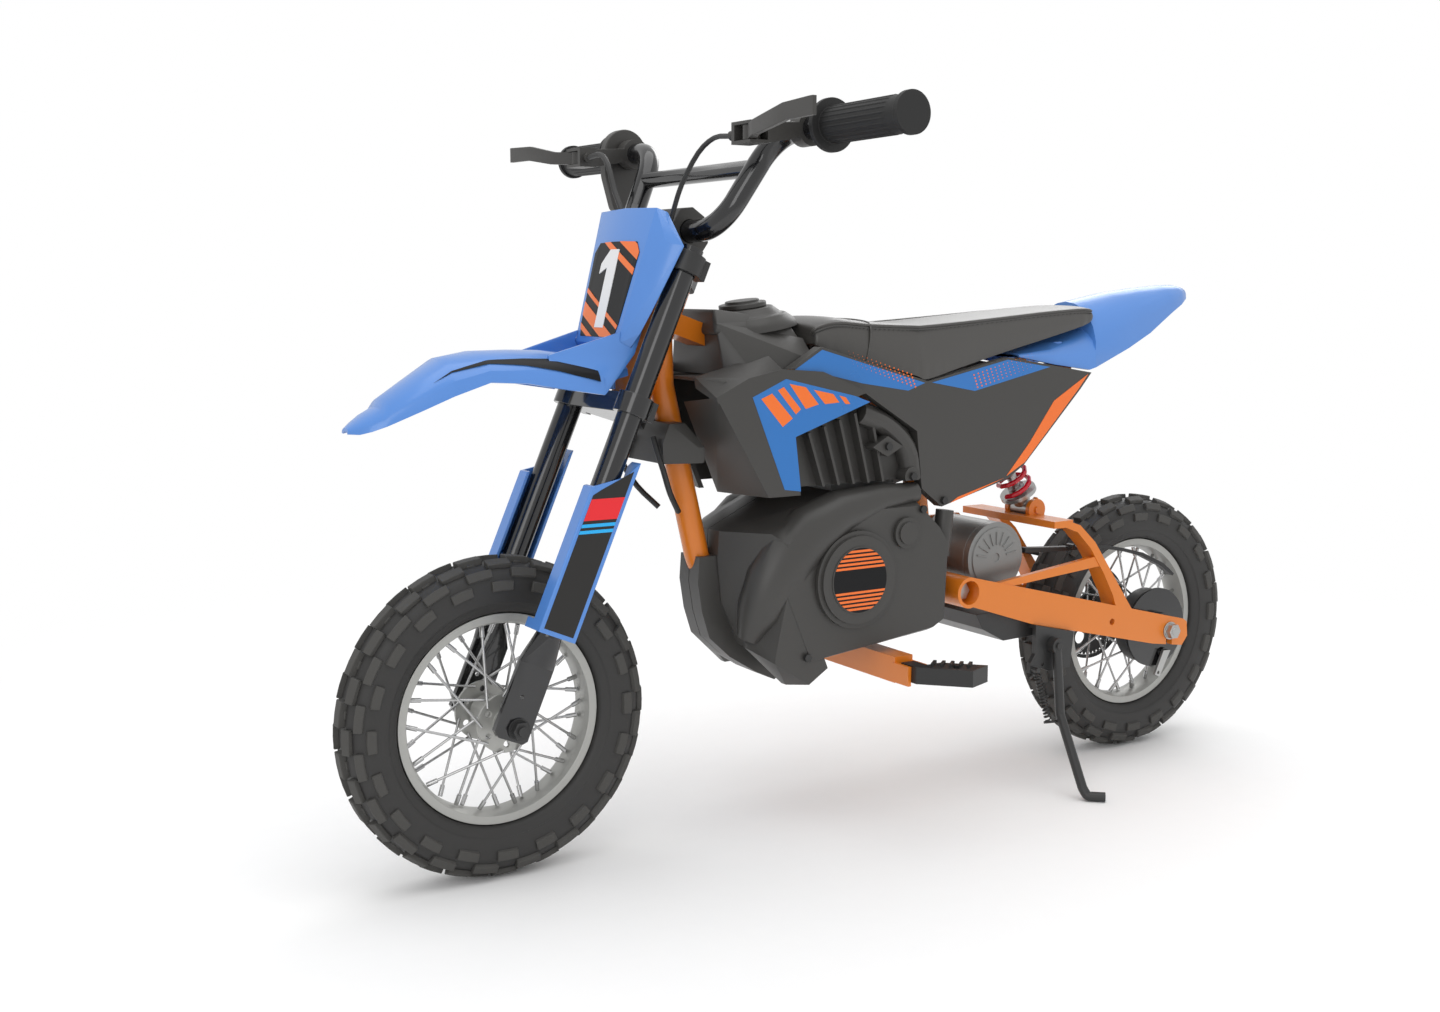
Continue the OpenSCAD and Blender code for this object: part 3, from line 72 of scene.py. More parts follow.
def bevelled(obj, width, segments=2, angle=30):
    b = obj.modifiers.new("roundedEdges", "BEVEL")
    b.width = width * mm
    b.segments = segments
    b.limit_method = "ANGLE"
    b.angle_limit = math.radians(angle)
    b.harden_normals = False
    b.use_clamp_overlap = True
    return obj


def addPiece(name, parts, material, body, nodes=(), sharp=35, outward=True):
    # parts are pairs of points in mm and faces, joined into one mesh
    verts, faces, base = [], [], 0
    for p, f in parts:
        p = np.asarray(p, float).reshape(-1, 3)
        verts.append(p)
        faces += [[base + int(i) for i in q] for q in f]
        base += len(p)
    mesh = bpy.data.meshes.new(name)
    mesh.from_pydata((np.concatenate(verts) * mm).tolist(), [], faces)
    bm = bmesh.new()
    bm.from_mesh(mesh)
    bmesh.ops.remove_doubles(bm, verts=bm.verts, dist=2e-6)
    if outward:
        bmesh.ops.recalc_face_normals(bm, faces=bm.faces)
    bm.to_mesh(mesh)
    bm.free()
    mesh.shade_smooth()
    mesh.set_sharp_from_angle(angle=math.radians(sharp))
    obj = bpy.data.objects.new(name, mesh)
    bpy.context.scene.collection.objects.link(obj)
    return dress(obj, material, body, nodes)


def fromCad(node, material, bevel, sharp, flat=1.0):
    # a merged copy of the solid, its flat faces joined and its edges rounded, stands for the node
    bm = bmesh.new()
    bm.from_mesh(frame["nodes"][node].data)
    bmesh.ops.remove_doubles(bm, verts=bm.verts, dist=2e-6)
    bmesh.ops.dissolve_limit(bm, angle_limit=math.radians(flat), verts=bm.verts,
                             edges=bm.edges)
    bmesh.ops.recalc_face_normals(bm, faces=bm.faces)
    bm.verts.index_update()
    pts = [v.co[:] for v in bm.verts]
    faces = [[v.index for v in f.verts] for f in bm.faces]
    bm.free()
    mesh = bpy.data.meshes.new(node + "_look")
    mesh.from_pydata(pts, [], faces)
    mesh.shade_smooth()
    mesh.set_sharp_from_angle(angle=math.radians(sharp))
    obj = bpy.data.objects.new(mesh.name, mesh)
    bpy.context.scene.collection.objects.link(obj)
    if bevel:
        bevelled(obj, bevel)
    return dress(obj, material, bodyOf[node], (node,))


def weights(count, per):
    # each sample is a blend of four neighbouring control points by the Catmull-Rom cubic
    t = np.linspace(0, count - 1, (count - 1) * per + 1)
    i = np.clip(t.astype(int), 0, count - 2)
    f = t - i
    w = np.stack([-f + 2 * f ** 2 - f ** 3,
                  2 - 5 * f ** 2 + 3 * f ** 3,
                  f + 4 * f ** 2 - 3 * f ** 3,
                  -f ** 2 + f ** 3], -1) / 2
    out = np.zeros((len(t), count))
    for k in range(4):
        np.add.at(out, (np.arange(len(t)), np.clip(i + k - 1, 0, count - 1)), w[:, k])
    return out


def patchPart(points, loopRows=False, loopCols=False):
    return points.reshape(-1, 3), gridFaces(points.shape[0], points.shape[1], loopRows, loopCols)


def capPart(ring):
    return ring, [list(range(len(ring)))]


def smoothPath(points, per):
    return weights(len(points), per) @ np.asarray(points, float)


def sweep(path, radius, sides=12):
    # circles square to the path: the path plus radius times a turned pair of side and up vectors
    p = np.asarray(path, float)
    t = np.gradient(p, axis=0)
    t /= np.linalg.norm(t, axis=1, keepdims=True)
    ref = np.eye(3)[np.argmin(np.abs(t).max(0))]
    s = np.cross(t, ref)
    s /= np.linalg.norm(s, axis=1, keepdims=True)
    u = np.cross(t, s)
    a = np.linspace(0, 2 * np.pi, sides, endpoint=False)
    r = np.broadcast_to(np.asarray(radius, float).reshape(-1, 1, 1), (len(p), 1, 1))
    turn = np.cos(a)[None, :, None] * s[:, None] + np.sin(a)[None, :, None] * u[:, None]
    ring = p[:, None] + r * turn
    faces = gridFaces(len(p), sides, False, True).tolist()
    faces += [list(range(sides)), list(range((len(p) - 1) * sides, len(p) * sides))]
    return ring.reshape(-1, 3), faces


def lathe(profile, steps):
    # a closed profile of radius and y turned about the Y axis: x = r cos a, z = r sin a
    q = np.asarray(profile, float)
    a = np.linspace(0, 2 * np.pi, steps, endpoint=False)
    pts = np.stack([q[None, :, 0] * np.cos(a)[:, None],
                    np.broadcast_to(q[None, :, 1], (steps, len(q))),
                    q[None, :, 0] * np.sin(a)[:, None]], -1)
    return pts.reshape(-1, 3), gridFaces(steps, len(q), True, True)


def prism(lower, upper):
    # two outlines of the same number of points, one over the other, joined by walls
    n = len(lower)
    k = np.arange(n)
    walls = np.stack([k, (k + 1) % n, (k + 1) % n + n, k + n], -1).tolist()
    return np.concatenate([lower, upper]), walls + [k[::-1].tolist(), (k + n).tolist()]


def slab(outline, y0, y1):
    # a flat outline of x and z given thickness along Y
    q = np.asarray(outline, float)
    return prism(np.insert(q, 1, y0, 1), np.insert(q, 1, y1, 1))


def mirrored(part):
    return np.asarray(part[0]) * [1, -1, 1], [list(f)[::-1] for f in part[1]]


def boxPart(lo, hi):
    x, y, z = zip(lo, hi)
    p = [(x[i & 1], y[i >> 1 & 1], z[i >> 2 & 1]) for i in range(8)]
    return np.array(p, float), [[0, 2, 3, 1], [4, 5, 7, 6], [0, 1, 5, 4], [2, 6, 7, 3], [0, 4, 6, 2],
                                [1, 3, 7, 5]]


# ---- finishes ----

def newGroup(name, inputs, outputs):
    g = bpy.data.node_groups.new(name, "ShaderNodeTree")
    for label, kind, value in inputs:
        s = g.interface.new_socket(label, in_out="INPUT", socket_type=kind)
        s.default_value = value
    for label, kind in outputs:
        g.interface.new_socket(label, in_out="OUTPUT", socket_type=kind)
    return g, g.nodes.new("NodeGroupInput"), g.nodes.new("NodeGroupOutput")


def linked(tree, kind, wires=(), **settings):
    n = tree.nodes.new(kind)
    for key, value in settings.items():
        setattr(n, key, value)
    for socket, source in wires:
        if isinstance(source, bpy.types.NodeSocket):
            tree.links.new(source, n.inputs[socket])
        else:
            n.inputs[socket].default_value = source
    return n


def buildSurfaceDetail():
    # fine grain and broad shade changes in the piece's own coordinates; faces that look up are painted
    # lighter, partly dust and partly a painted highlight standing in for the bright reflection on tops
    g, i, o = newGroup("surfaceDetail",
                       [("Colour", "NodeSocketColor", (0.5, 0.5, 0.5, 1)),
                        ("Roughness", "NodeSocketFloat", 0.5),
                        ("Grain size", "NodeSocketFloat", 900.0),
                        ("Grain depth", "NodeSocketFloat", 0.1),
                        ("Shade change", "NodeSocketFloat", 0.06),
                        ("Gloss change", "NodeSocketFloat", 0.06),
                        ("Dust and sheen", "NodeSocketFloat", 0.0)],
                       [("Colour", "NodeSocketColor"), ("Roughness", "NodeSocketFloat"),
                        ("Normal", "NodeSocketVector")])
    place = linked(g, "ShaderNodeTexCoord").outputs["Object"]
    grain = linked(g, "ShaderNodeTexNoise",
                   [("Vector", place), ("Scale", i.outputs["Grain size"]), ("Detail", 2.0)])
    broad = linked(g, "ShaderNodeTexNoise", [("Vector", place), ("Scale", 14.0), ("Detail", 4.0)])
    shade = linked(g, "ShaderNodeMath", [(0, broad.outputs["Fac"]), (1, 0.5)], operation="SUBTRACT")
    amount = linked(g, "ShaderNodeMath", [(0, shade.outputs[0]), (1, i.outputs["Shade change"])],
                    operation="MULTIPLY")
    value = linked(g, "ShaderNodeMath", [(0, amount.outputs[0]), (1, 1.0)], operation="ADD")
    tone = linked(g, "ShaderNodeHueSaturation",
                  [("Color", i.outputs["Colour"]), ("Value", value.outputs[0])])
    # faces that look up are mixed towards grey: partly dust, partly a painted highlight for the pale
    # reflection on tops
    up = linked(g, "ShaderNodeSeparateXYZ", [(0, linked(g, "ShaderNodeNewGeometry").outputs["Normal"])])
    facingUp = linked(g, "ShaderNodeMapRange",
                   [("Value", up.outputs["Z"]), ("From Min", 0.5), ("From Max", 1.0)])
    patchy = linked(g, "ShaderNodeMath", [(0, facingUp.outputs[0]), (1, broad.outputs["Fac"])],
                    operation="MULTIPLY")
    dustAndSheen = linked(g, "ShaderNodeMath", [(0, patchy.outputs[0]), (1, i.outputs["Dust and sheen"])],
                  operation="MULTIPLY")
    mix = linked(g, "ShaderNodeMix",
                 [("Factor", dustAndSheen.outputs[0]), (6, tone.outputs[0]), (7, (0.5, 0.5, 0.5, 1))],
                 data_type="RGBA")
    gloss = linked(g, "ShaderNodeMath", [(0, shade.outputs[0]), (1, i.outputs["Gloss change"])],
                   operation="MULTIPLY")
    rough = linked(g, "ShaderNodeMath", [(0, gloss.outputs[0]), (1, i.outputs["Roughness"])],
                   operation="ADD")
    bump = linked(g, "ShaderNodeBump", [("Height", grain.outputs["Fac"]),
                                        ("Strength", i.outputs["Grain depth"]),
                                        ("Distance", 0.0004)])
    g.links.new(mix.outputs[2], o.inputs["Colour"])
    g.links.new(rough.outputs[0], o.inputs["Roughness"])
    g.links.new(bump.outputs[0], o.inputs["Normal"])
    return g


surfaceDetail = buildSurfaceDetail()


def finish(name, colour, rough, metal=0.0, coat=0.0, coatRough=0.05, grain=900.0, depth=0.1,
           shade=0.08, gloss=0.08, dustAndSheen=0.0, specular=0.5):
    m = bpy.data.materials.new(name)
    m.use_nodes = True
    t = m.node_tree
    shader = t.nodes["Principled BSDF"]
    d = linked(t, "ShaderNodeGroup", node_tree=surfaceDetail)
    values = {"Colour": (*colour, 1), "Roughness": rough, "Grain size": grain, "Grain depth": depth,
              "Shade change": shade, "Gloss change": gloss, "Dust and sheen": dustAndSheen}
    for socket, value in values.items():
        d.inputs[socket].default_value = value
    t.links.new(d.outputs["Colour"], shader.inputs["Base Color"])
    t.links.new(d.outputs["Roughness"], shader.inputs["Roughness"])
    t.links.new(d.outputs["Normal"], shader.inputs["Normal"])
    shader.inputs["Metallic"].default_value = metal
    shader.inputs["Coat Weight"].default_value = coat
    shader.inputs["Coat Roughness"].default_value = coatRough
    shader.inputs["Specular IOR Level"].default_value = specular
    m.diffuse_color = (*colour, 1)
    return m


look = {
    "blue": finish("bluePlastic", (0.085, 0.25, 0.66), 0.30, coat=0.35, coatRough=0.12, grain=500,
                   depth=0.02),
    "orange": finish("orangePaint", (0.72, 0.19, 0.008), 0.38, coat=0.4, coatRough=0.15, grain=420,
                     depth=0.05),
    "gloss": finish("blackPaint", (0.006, 0.006, 0.007), 0.16, coat=0.6, coatRough=0.06, grain=380,
                    depth=0.03),
    "charcoal": finish("charcoalPlastic", (0.048, 0.046, 0.043), 0.40, grain=1500, depth=0.12,
                       dustAndSheen=0.02),
    "dark": finish("blackPlastic", (0.018, 0.018, 0.018), 0.45, grain=1400, depth=0.12),
    "grip": finish("gripRubber", (0.012, 0.012, 0.012), 0.55, grain=1100, depth=0.2),
    "rubber": finish("tyreRubber", (0.026, 0.025, 0.024), 0.52, grain=700, depth=0.25, shade=0.2,
                     dustAndSheen=0.03),
    "lug": finish("treadRubber", (0.058, 0.056, 0.052), 0.70, grain=800, depth=0.3, shade=0.2,
                  dustAndSheen=0.05),
    "alloy": finish("rimAlloy", (0.42, 0.42, 0.40), 0.42, metal=0.55, grain=900, depth=0.35,
                    shade=0.25, gloss=0.2),
    "steel": finish("spokeSteel", (0.50, 0.50, 0.50), 0.25, metal=0.95, grain=700, depth=0.05),
    "cast": finish("castAlloy", (0.22, 0.22, 0.22), 0.40, metal=0.5, grain=800, depth=0.2, shade=0.2),
    "can": finish("motorCan", (0.26, 0.26, 0.255), 0.34, metal=0.6, grain=600, depth=0.05, shade=0.15),
    "bolt": finish("boltSteel", (0.05, 0.05, 0.05), 0.38, metal=0.6, grain=900, depth=0.1),
    "zinc": finish("zincSteel", (0.45, 0.45, 0.44), 0.30, metal=0.9, grain=900, depth=0.1, shade=0.2),
    "red": finish("redPaint", (0.62, 0.004, 0.02), 0.25, coat=0.5, coatRough=0.08, grain=500,
                  depth=0.03),
    # the seat's top faces get the strongest lightening, partly dust and partly a painted highlight for
    # the pale reflection on its top
    "seat": finish("seatCover", (0.050, 0.047, 0.043), 0.42, grain=1300, depth=0.4, shade=0.12,
                   dustAndSheen=0.06, coat=0.5, coatRough=0.3),
    "satin": finish("satinBlack", (0.030, 0.030, 0.030), 0.38, grain=700, depth=0.08, metal=0.1),
}
stickers = {
    "blue": finish("stickerBlue", (0.012, 0.16, 0.50), 0.28, coat=0.3, depth=0.01),
    "orange": finish("stickerOrange", (0.90, 0.165, 0.010), 0.32, coat=0.3, depth=0.01),
    "black": finish("stickerBlack", (0.008, 0.008, 0.009), 0.30, depth=0.01, specular=0.2),
    "white": finish("stickerWhite", (0.82, 0.82, 0.82), 0.35, coat=0.3, depth=0.01),
    "charcoal": finish("stickerCharcoal", (0.030, 0.029, 0.028), 0.34, depth=0.01, specular=0.2),
    "red": finish("stickerRed", (0.80, 0.004, 0.012), 0.32, coat=0.3, depth=0.01),
    "sky": finish("stickerSky", (0.004, 0.42, 0.88), 0.32, coat=0.3, depth=0.01),
}
print("finishes ready")

# ---- pieces made straight from the solids ----

plain = {
    # node: finish, rounding in mm, angle above which an edge stays crisp
    "main_frame": ("orange", 0.8, 32),
    "head_bearings": ("steel", 0.3, 32),
    "engine_covers": ("charcoal", 1.2, 38),
    "front_cover": ("charcoal", 0.8, 32),
    "shroud_left": ("charcoal", 0.8, 32),
    "shroud_right": ("charcoal", 0.8, 32),
    "side_grilles": ("charcoal", 0.5, 32),
    "tank_cover": ("charcoal", 1.6, 32),
    "filler_cap": ("charcoal", 0.8, 32),
    "side_panel_left": ("charcoal", 1.0, 32),
    "side_panel_right": ("charcoal", 1.0, 32),
    "rear_fender": ("blue", 0.6, 40),
    "clutch_cover": ("charcoal", 0.6, 32),
    "battery_pack": ("satin", 0.8, 32),
    "controller": ("cast", 0.6, 32),
    "cover_bolts": ("bolt", 0.3, 32),
    "pivot_shaft": ("zinc", 0.3, 32),
    "frame_cables": ("dark", 0, 40),
    "steerer": ("gloss", 0.5, 32),
    "top_clamp": ("satin", 0.9, 32),
    "bar_clamp": ("charcoal", 0.9, 32),
    "handlebar": ("gloss", 0, 40),
    "lever_perches": ("charcoal", 0.7, 32),
    "throttle_housing": ("charcoal", 1.0, 32),
    "number_plate": ("blue", 0.8, 28),
    "front_fender": ("blue", 0.6, 40),
    "fork_legs": ("gloss", 0.5, 36),
    "fork_guards": ("blue", 0.6, 30),
    "front_axle": ("bolt", 0.4, 32),
    "bar_cables": ("dark", 0, 40),
    "left_lever": ("charcoal", 0.7, 32),
    "right_lever": ("charcoal", 0.7, 32),
    "front_rim": ("alloy", 0.3, 40),
    "front_hub": ("alloy", 0.4, 32),
    "front_spokes": ("steel", 0, 40),
    "swingarm": ("orange", 0.7, 32),
    "motor": ("can", 0.5, 32),
    "brake_cover": ("gloss", 0.6, 32),
    "brake_arm": ("zinc", 0.4, 32),
    "motor_mount": ("satin", 0.6, 32),
    "wheel_strip": ("dark", 0.4, 32),
    "rear_axle": ("zinc", 0.4, 32),
    "stand_bracket": ("satin", 0.5, 32),
    "rear_rim": ("alloy", 0.3, 40),
    "rear_hub": ("satin", 0.4, 32),
    "rear_spokes": ("steel", 0, 40),
    "rear_sprocket": ("satin", 0.3, 32),
    "motor_sprocket": ("zinc", 0.3, 32),
    "kickstand": ("satin", 0.4, 36),
    "peg_left": ("dark", 0.4, 32),
    "peg_right": ("dark", 0.4, 32),
    "shock_body": ("satin", 0.4, 32),
    "shock_rod": ("zinc", 0.4, 32),
    "chain": ("satin", 0.3, 32),
    "left_grip": ("grip", 0.4, 40),
    "throttle_grip": ("grip", 0.4, 40),
}


def buildPlain():
    for node, (kind, bevel, crisp) in plain.items():
        fromCad(node, look[kind], bevel, crisp)
    # the joint stretches the spring's own solid, so that mesh stays
    spring = frame["nodes"]["shock_spring"]
    spring.data.materials.clear()
    spring.data.materials.append(look["red"])


buildPlain()
print("solids dressed")

# ---- tyres ----

tyreShape = {
    "pitches": 20,
    # half of the smooth casing from bead to crown: radius, half width
    "casing": [[100.8, 13.2], [105.3, 13.2], [106.8, 17.3], [109.5, 20.3], [116.6, 23.4],
               [117.6, 24.6], [125, 25.6], [133, 26], [139, 25.6], [145, 23.2], [149.5, 19],
               [152.6, 13], [153.8, 8], [154, 0]],
    "lining": [[110, 10.5], [122, 19], [138, 19], [148, 9]],
    # rows of blocks: inner and outer foot, inner and outer top (radius, half width),
    # then the block's share of the pitch and its phase
    "rows": [([128.5, 25], [139.5, 24.6], [130, 29.0], [139, 28.6], 0.52, 0.0),
             ([141.0, 23.8], [148.8, 18.6], [144.2, 28.0], [151.8, 24.4], 0.56, 0.5),
             ([149.6, 18.4], [153.0, 9.5], [154.6, 20.6], [158.8, 11.2], 0.50, 0.0)],
    "centreHalf": 7.6, "centreShare": 0.50, "top": 159.9,
}


def blockPart(inner, outer, innerTop, outerTop, a0, a1):
    # a block between two angles: two foot and two top points at each end and in the middle
    pts = []
    for a in (a0, (a0 + a1) / 2, a1):
        for r, y in (inner, outer, outerTop, innerTop):
            pts.append((r * math.cos(a), y, r * math.sin(a)))
    return np.array(pts), gridFaces(3, 4, False, True).tolist() + [[0, 1, 2, 3], [8, 9, 10, 11]]


def buildTyre(node, axleX):
    t = tyreShape
    half = smoothPath(t["casing"], 3)
    inner = np.array(t["lining"])
    profile = np.concatenate([half, half[-2::-1] * [1, -1], inner * [1, -1], inner[::-1]])
    casing = lathe(profile, 160)
    step = 2 * np.pi / t["pitches"]
    blocks = []
    for i in range(t["pitches"]):
        for inner0, outer0, inner1, outer1, share, phase in t["rows"]:
            a = (i + phase) * step
            w = share * step / 2
            b = blockPart(inner0, outer0, inner1, outer1, a - w, a + w)
            blocks += [b, mirrored(b)]
        a, w, h = (i + 0.5) * step, t["centreShare"] * step / 2, t["centreHalf"]
        blocks.append(blockPart([152.5, -h], [152.5, h], [t["top"], -h + 0.8], [t["top"], h - 0.8],
                                a - w, a + w))
        for s in (1, -1):                      # thin bridges between the crown rows
            blocks.append(blockPart([150, 9 * s], [152.6, 2 * s], [155.5, 9 * s], [156.2, 2 * s],
                                    a - 0.35 * w, a + 0.35 * w))
    shift = np.array([axleX, 0, wheels["axleZ"]])
    name = node.replace("_", "")
    addPiece(name + "Casing", [(casing[0] + shift, casing[1])], look["rubber"], bodyOf[node],
             (node,), sharp=50)
    lugs = addPiece(name + "Lugs", [(b[0] + shift, b[1]) for b in blocks], look["lug"],
                    bodyOf[node], sharp=30)
    bevelled(lugs, 0.7, 1)
    print(node, "built")


buildTyre("front_tyre", wheels["axleX"])
buildTyre("rear_tyre", -wheels["axleX"])

# ---- seat ----

seatCover = {
    # stations from front to rear: x, lower edge z, half width, crease z, crease half width, crown z
    "stations": [[88.5, 519, 52, 528, 48, 531], [84, 516.5, 58.5, 535, 54, 541],
                 [61, 509.5, 62.5, 540, 58, 547], [20, 497.5, 68.5, 537, 62, 543],
                 [-32, 483.5, 73.5, 535, 65, 539], [-49, 479.5, 73.5, 535, 65, 538],
                 [-100, 490.5, 68.5, 538, 62, 540], [-171, 505.5, 60.5, 543, 57, 546],
                 [-240, 519.5, 54.5, 548, 52, 552], [-300, 532.5, 49.5, 551, 48, 556],
                 [-316.5, 538.5, 46.5, 549, 45, 553]],
    "flankBulge": 2.0, "creaseDepth": 0.7, "creaseReach": 14,
    # the seam across the front, from the middle to the lower edge
    "seam": [(20, 0, 543.2), (20, 30, 542.8), (20.5, 55, 540.5), (22, 63, 536), (24, 66.5, 526),
             (27, 67.6, 512), (30, 67.5, 499)],
    "pipingRadius": 1.6, "seamRadius": 1.1,
    "stitchLength": 4.2, "stitchCount": 90, "stitchShare": 0.6,
    "fill": 0.6,
}


def buildSeat():
    # half an outline at each station: lower edge, flank, crease, then a quarter of a rounded crown
    rows = weights(len(seatCover["stations"]), 10) @ np.array(seatCover["stations"], float)
    x, low, w, cz, cw, top = rows.T
    t = np.linspace(0, 1, 8)
    flankY = w[:, None] + (cw - w)[:, None] * t + seatCover["flankBulge"] * np.sin(np.pi * t)
    flankZ = low[:, None] + (cz - low)[:, None] * t
    a = np.linspace(0.02, 1, 22)[None] * np.pi / 2
    crownY = cw[:, None] * np.cos(a)
    crownZ = cz[:, None] + (top - cz)[:, None] * np.sin(a) ** 0.75
    y = np.concatenate([flankY, crownY[:, 1:]], 1)
    z = np.concatenate([flankZ, crownZ[:, 1:]], 1)
    # faint creases where the cover is drawn down over the flank
    pull = np.exp(-((z - low[:, None]) / seatCover["creaseReach"]) ** 2)
    y = y - seatCover["creaseDepth"] * pull * np.sin(x[:, None] * 0.21) ** 2
    y = np.concatenate([y, -y[:, -2::-1]], 1)
    z = np.concatenate([z, z[:, -2::-1]], 1)
    grid = np.stack([np.broadcast_to(x[:, None], y.shape), y, z], -1)
    under = np.stack([grid[:, -1] * [1, 0.985, 1], grid[:, 0] * [1, 0.985, 1]], 1)
    shell = patchPart(np.concatenate([grid, under], 1), loopCols=True)
    seat = addPiece("seat_look", [shell, capPart(grid[0]), capPart(grid[-1])], look["seat"],
                    "frame", ("seat",), sharp=50)
    crease = np.stack([x, cw + 0.2, cz + 0.4], -1)[2:-1]
    cord = sweep(crease, seatCover["pipingRadius"], 8)
    seam = sweep(smoothPath(seatCover["seam"], 5), seatCover["seamRadius"], 6)
    seams = [cord, mirrored(cord), seam, mirrored(seam)]
    addPiece("seatPiping", seams, look["seat"], "frame")
    # stitches stand just proud below the crease
    path = np.stack([x, cw + 2.4, cz - 3.4], -1)[4:-4]
    run = np.linspace(0, 1, seatCover["stitchCount"])
    pos = np.stack([np.interp(run, np.linspace(0, 1, len(path)), path[:, k]) for k in range(3)], -1)
    half = seatCover["stitchLength"] / 2 * seatCover["stitchShare"]
    stitches = [boxPart(p - [half, 0.35, 0.3], p + [half, 0.35, 0.3]) for p in pos]
    addPiece("seatStitches", stitches + [mirrored(s) for s in stitches], look["satin"], "frame")


# ---- grips ----

gripShape = {
    "from": 205, "to": 311, "radius": 16.3, "ribs": 22, "ribDepth": 1.0,
    "barTop": (179, 118, 722.0), "barEnd": (176, 317, 724.4),   # the left bar's own line
}


def buildGrips():
    # ribs run along the grip: radius plus depth times a clipped sine of the angle round the bar
    g = gripShape
    a0, a1 = np.array(g["barTop"]), np.array(g["barEnd"])
    axis = (a1 - a0) / np.linalg.norm(a1 - a0)
    side = np.cross(axis, [0, 0, 1])
    side /= np.linalg.norm(side)
    up = np.cross(side, axis)
    steps = g["ribs"] * 6
    a = np.linspace(0, 2 * np.pi, steps, endpoint=False)
    wave = np.clip(2.2 * np.sin(a * g["ribs"]), -1, 1)
    s = np.linspace(g["from"], g["to"], 26)
    env = np.clip(np.minimum(s - g["from"] - 3, g["to"] - 9 - s) / 3, 0, 1)
    r = g["radius"] + g["ribDepth"] * wave[None] * env[:, None]
    turn = np.cos(a)[None, :, None] * side + np.sin(a)[None, :, None] * up
    pts = a0 + axis * ((s - a0[1]) / axis[1])[:, None, None] + r[..., None] * turn
    part = patchPart(pts, loopCols=True)
    addPiece("leftGripRibs", [part], look["grip"], "steering", sharp=60,
             outward=False)
    addPiece("rightGripRibs", [mirrored(part)], look["grip"], "throttle_grip",
             sharp=60, outward=False)


# ---- stickers ----

faceY = {"shroud": 88, "disc": 91, "guard": 80.6}   # the flat faces that the stickers lie on


def sticker(name, outline, kind, y, body, shift=0.25):
    # a thin flat shape of x and z laid just over a face at y, on both sides of the bike
    part = slab(outline, y - 0.4, y + shift)
    addPiece(name, [part, mirrored(part)], stickers[kind], body, sharp=30)


def cut(outline, u, v):
    # keeps the part of a convex outline where u . p lies within the two limits v
    q = [np.array(p, float) for p in outline]
    for sign, limit in ((1, v[0]), (-1, -v[1])):
        out = []
        for i, p in enumerate(q):
            nxt = q[(i + 1) % len(q)]
            dp, dn = sign * (p @ u) - limit, sign * (nxt @ u) - limit
            if dp >= 0:
                out.append(p)
            if (dp > 0) != (dn > 0) and dp != dn:
                out.append(p + (nxt - p) * dp / (dp - dn))
        q = out
        if not q:
            return []
    return q


def buildShroudStickers():
    sticker("shroudBlue",
            [(186, 469), (146, 486), (60, 466), (40, 459), (134, 427), (127, 371), (147, 374)],
            "blue", faceY["shroud"], "frame")
    bars = [[(176, 467), (163, 472), (138, 446), (150, 438)],
            [(156, 475), (149, 478), (128, 455), (134, 450)],
            [(142, 481), (122, 477), (106, 459), (122, 455)],
            [(112, 474), (88, 469), (80, 460), (98, 459)],
            [(80, 467), (72, 465), (66, 458), (72, 458)]]
    for k, bar in enumerate(bars):
        sticker("shroudBar%d" % k, bar, "orange", faceY["shroud"] + 0.2, "frame")


panelPlane = {"hingeX": 143, "faceY": 85.0, "turn": 3.2}   # the side panels turn inwards to the rear


def panelPoint(x, z):
    # a point on the panel's outer face, given along the panel and upwards
    t = math.radians(panelPlane["turn"])
    along = x - panelPlane["hingeX"]
    return np.array([panelPlane["hingeX"] + along * math.cos(t),
                     panelPlane["faceY"] + along * math.sin(t), z])


def panelSticker(name, outline, kind, lift=0.25):
    t = math.radians(panelPlane["turn"])
    face = np.array([panelPoint(x, z) for x, z in outline])
    part = prism(face - [0, 0.5, 0], face + [-math.sin(t) * lift, math.cos(t) * lift, 0])
    addPiece(name, [part, mirrored(part)], stickers[kind], "frame", sharp=30)


def buildPanelStickers():
    panelSticker("panelBlueFront",
                 [(134, 494), (98, 514), (-44, 475.5), (-20, 468), (44, 478), (98, 490)], "blue")
    panelSticker("panelBlueRear", [(-54, 475.5), (-168, 497), (-236, 487), (-118, 464)], "blue")
    panelSticker("panelOrange",
                 [(-300, 477), (-285, 461), (-199, 380), (-170, 366), (-206, 402), (-244, 448)],
                 "orange")
    panelSticker("panelOrangeEdge", [(-112, 349), (-84, 342), (-96, 348), (-166, 364)], "orange", 0.3)
    dots = []
    for i in range(15):                      # rows of dots that shrink away from the seam
        for j in range(5):
            for x0, z0, dx, dz in ((-30, 471.5, 6.2, 1.9), (-122, 468, -6.4, 1.5)):
                x, z = x0 + i * dx + j * 1.5, z0 + i * dz + j * 3.4
                r = 1.25 * (1 - i / 17)
                p = np.array([(x - r, z), (x, z + r), (x + r, z), (x, z - r)])
                lo = np.array([panelPoint(a, b) for a, b in p])
                dots.append((np.concatenate([lo, lo + [0, 0.45, 0]]),
                             [[4, 5, 6, 7], [0, 1, 5, 4], [1, 2, 6, 5], [2, 3, 7, 6], [3, 0, 4, 7],
                              [3, 2, 1, 0]]))
    addPiece("panelDots", dots + [mirrored(d) for d in dots], stickers["orange"], "frame",
             sharp=30)


def forkPoint(xl, y, zl):
    # from the fork's own leaning frame, whose origin is the front axle, to the bike's frame
    t = math.radians(wheels["rake"])
    return np.array([wheels["axleX"] + xl * math.cos(t) - zl * math.sin(t), y,
                     wheels["axleZ"] + xl * math.sin(t) + zl * math.cos(t)])


def guardSticker(name, outline, kind, height):
    # a thin shape on both guards' outer faces, drawn in the fork's own frame
    pts, faces = slab(outline, faceY["guard"], faceY["guard"] + height)
    part = (np.array([forkPoint(*p) for p in pts]), faces)
    addPiece(name, [part, mirrored(part)], stickers[kind], "steering", sharp=30)


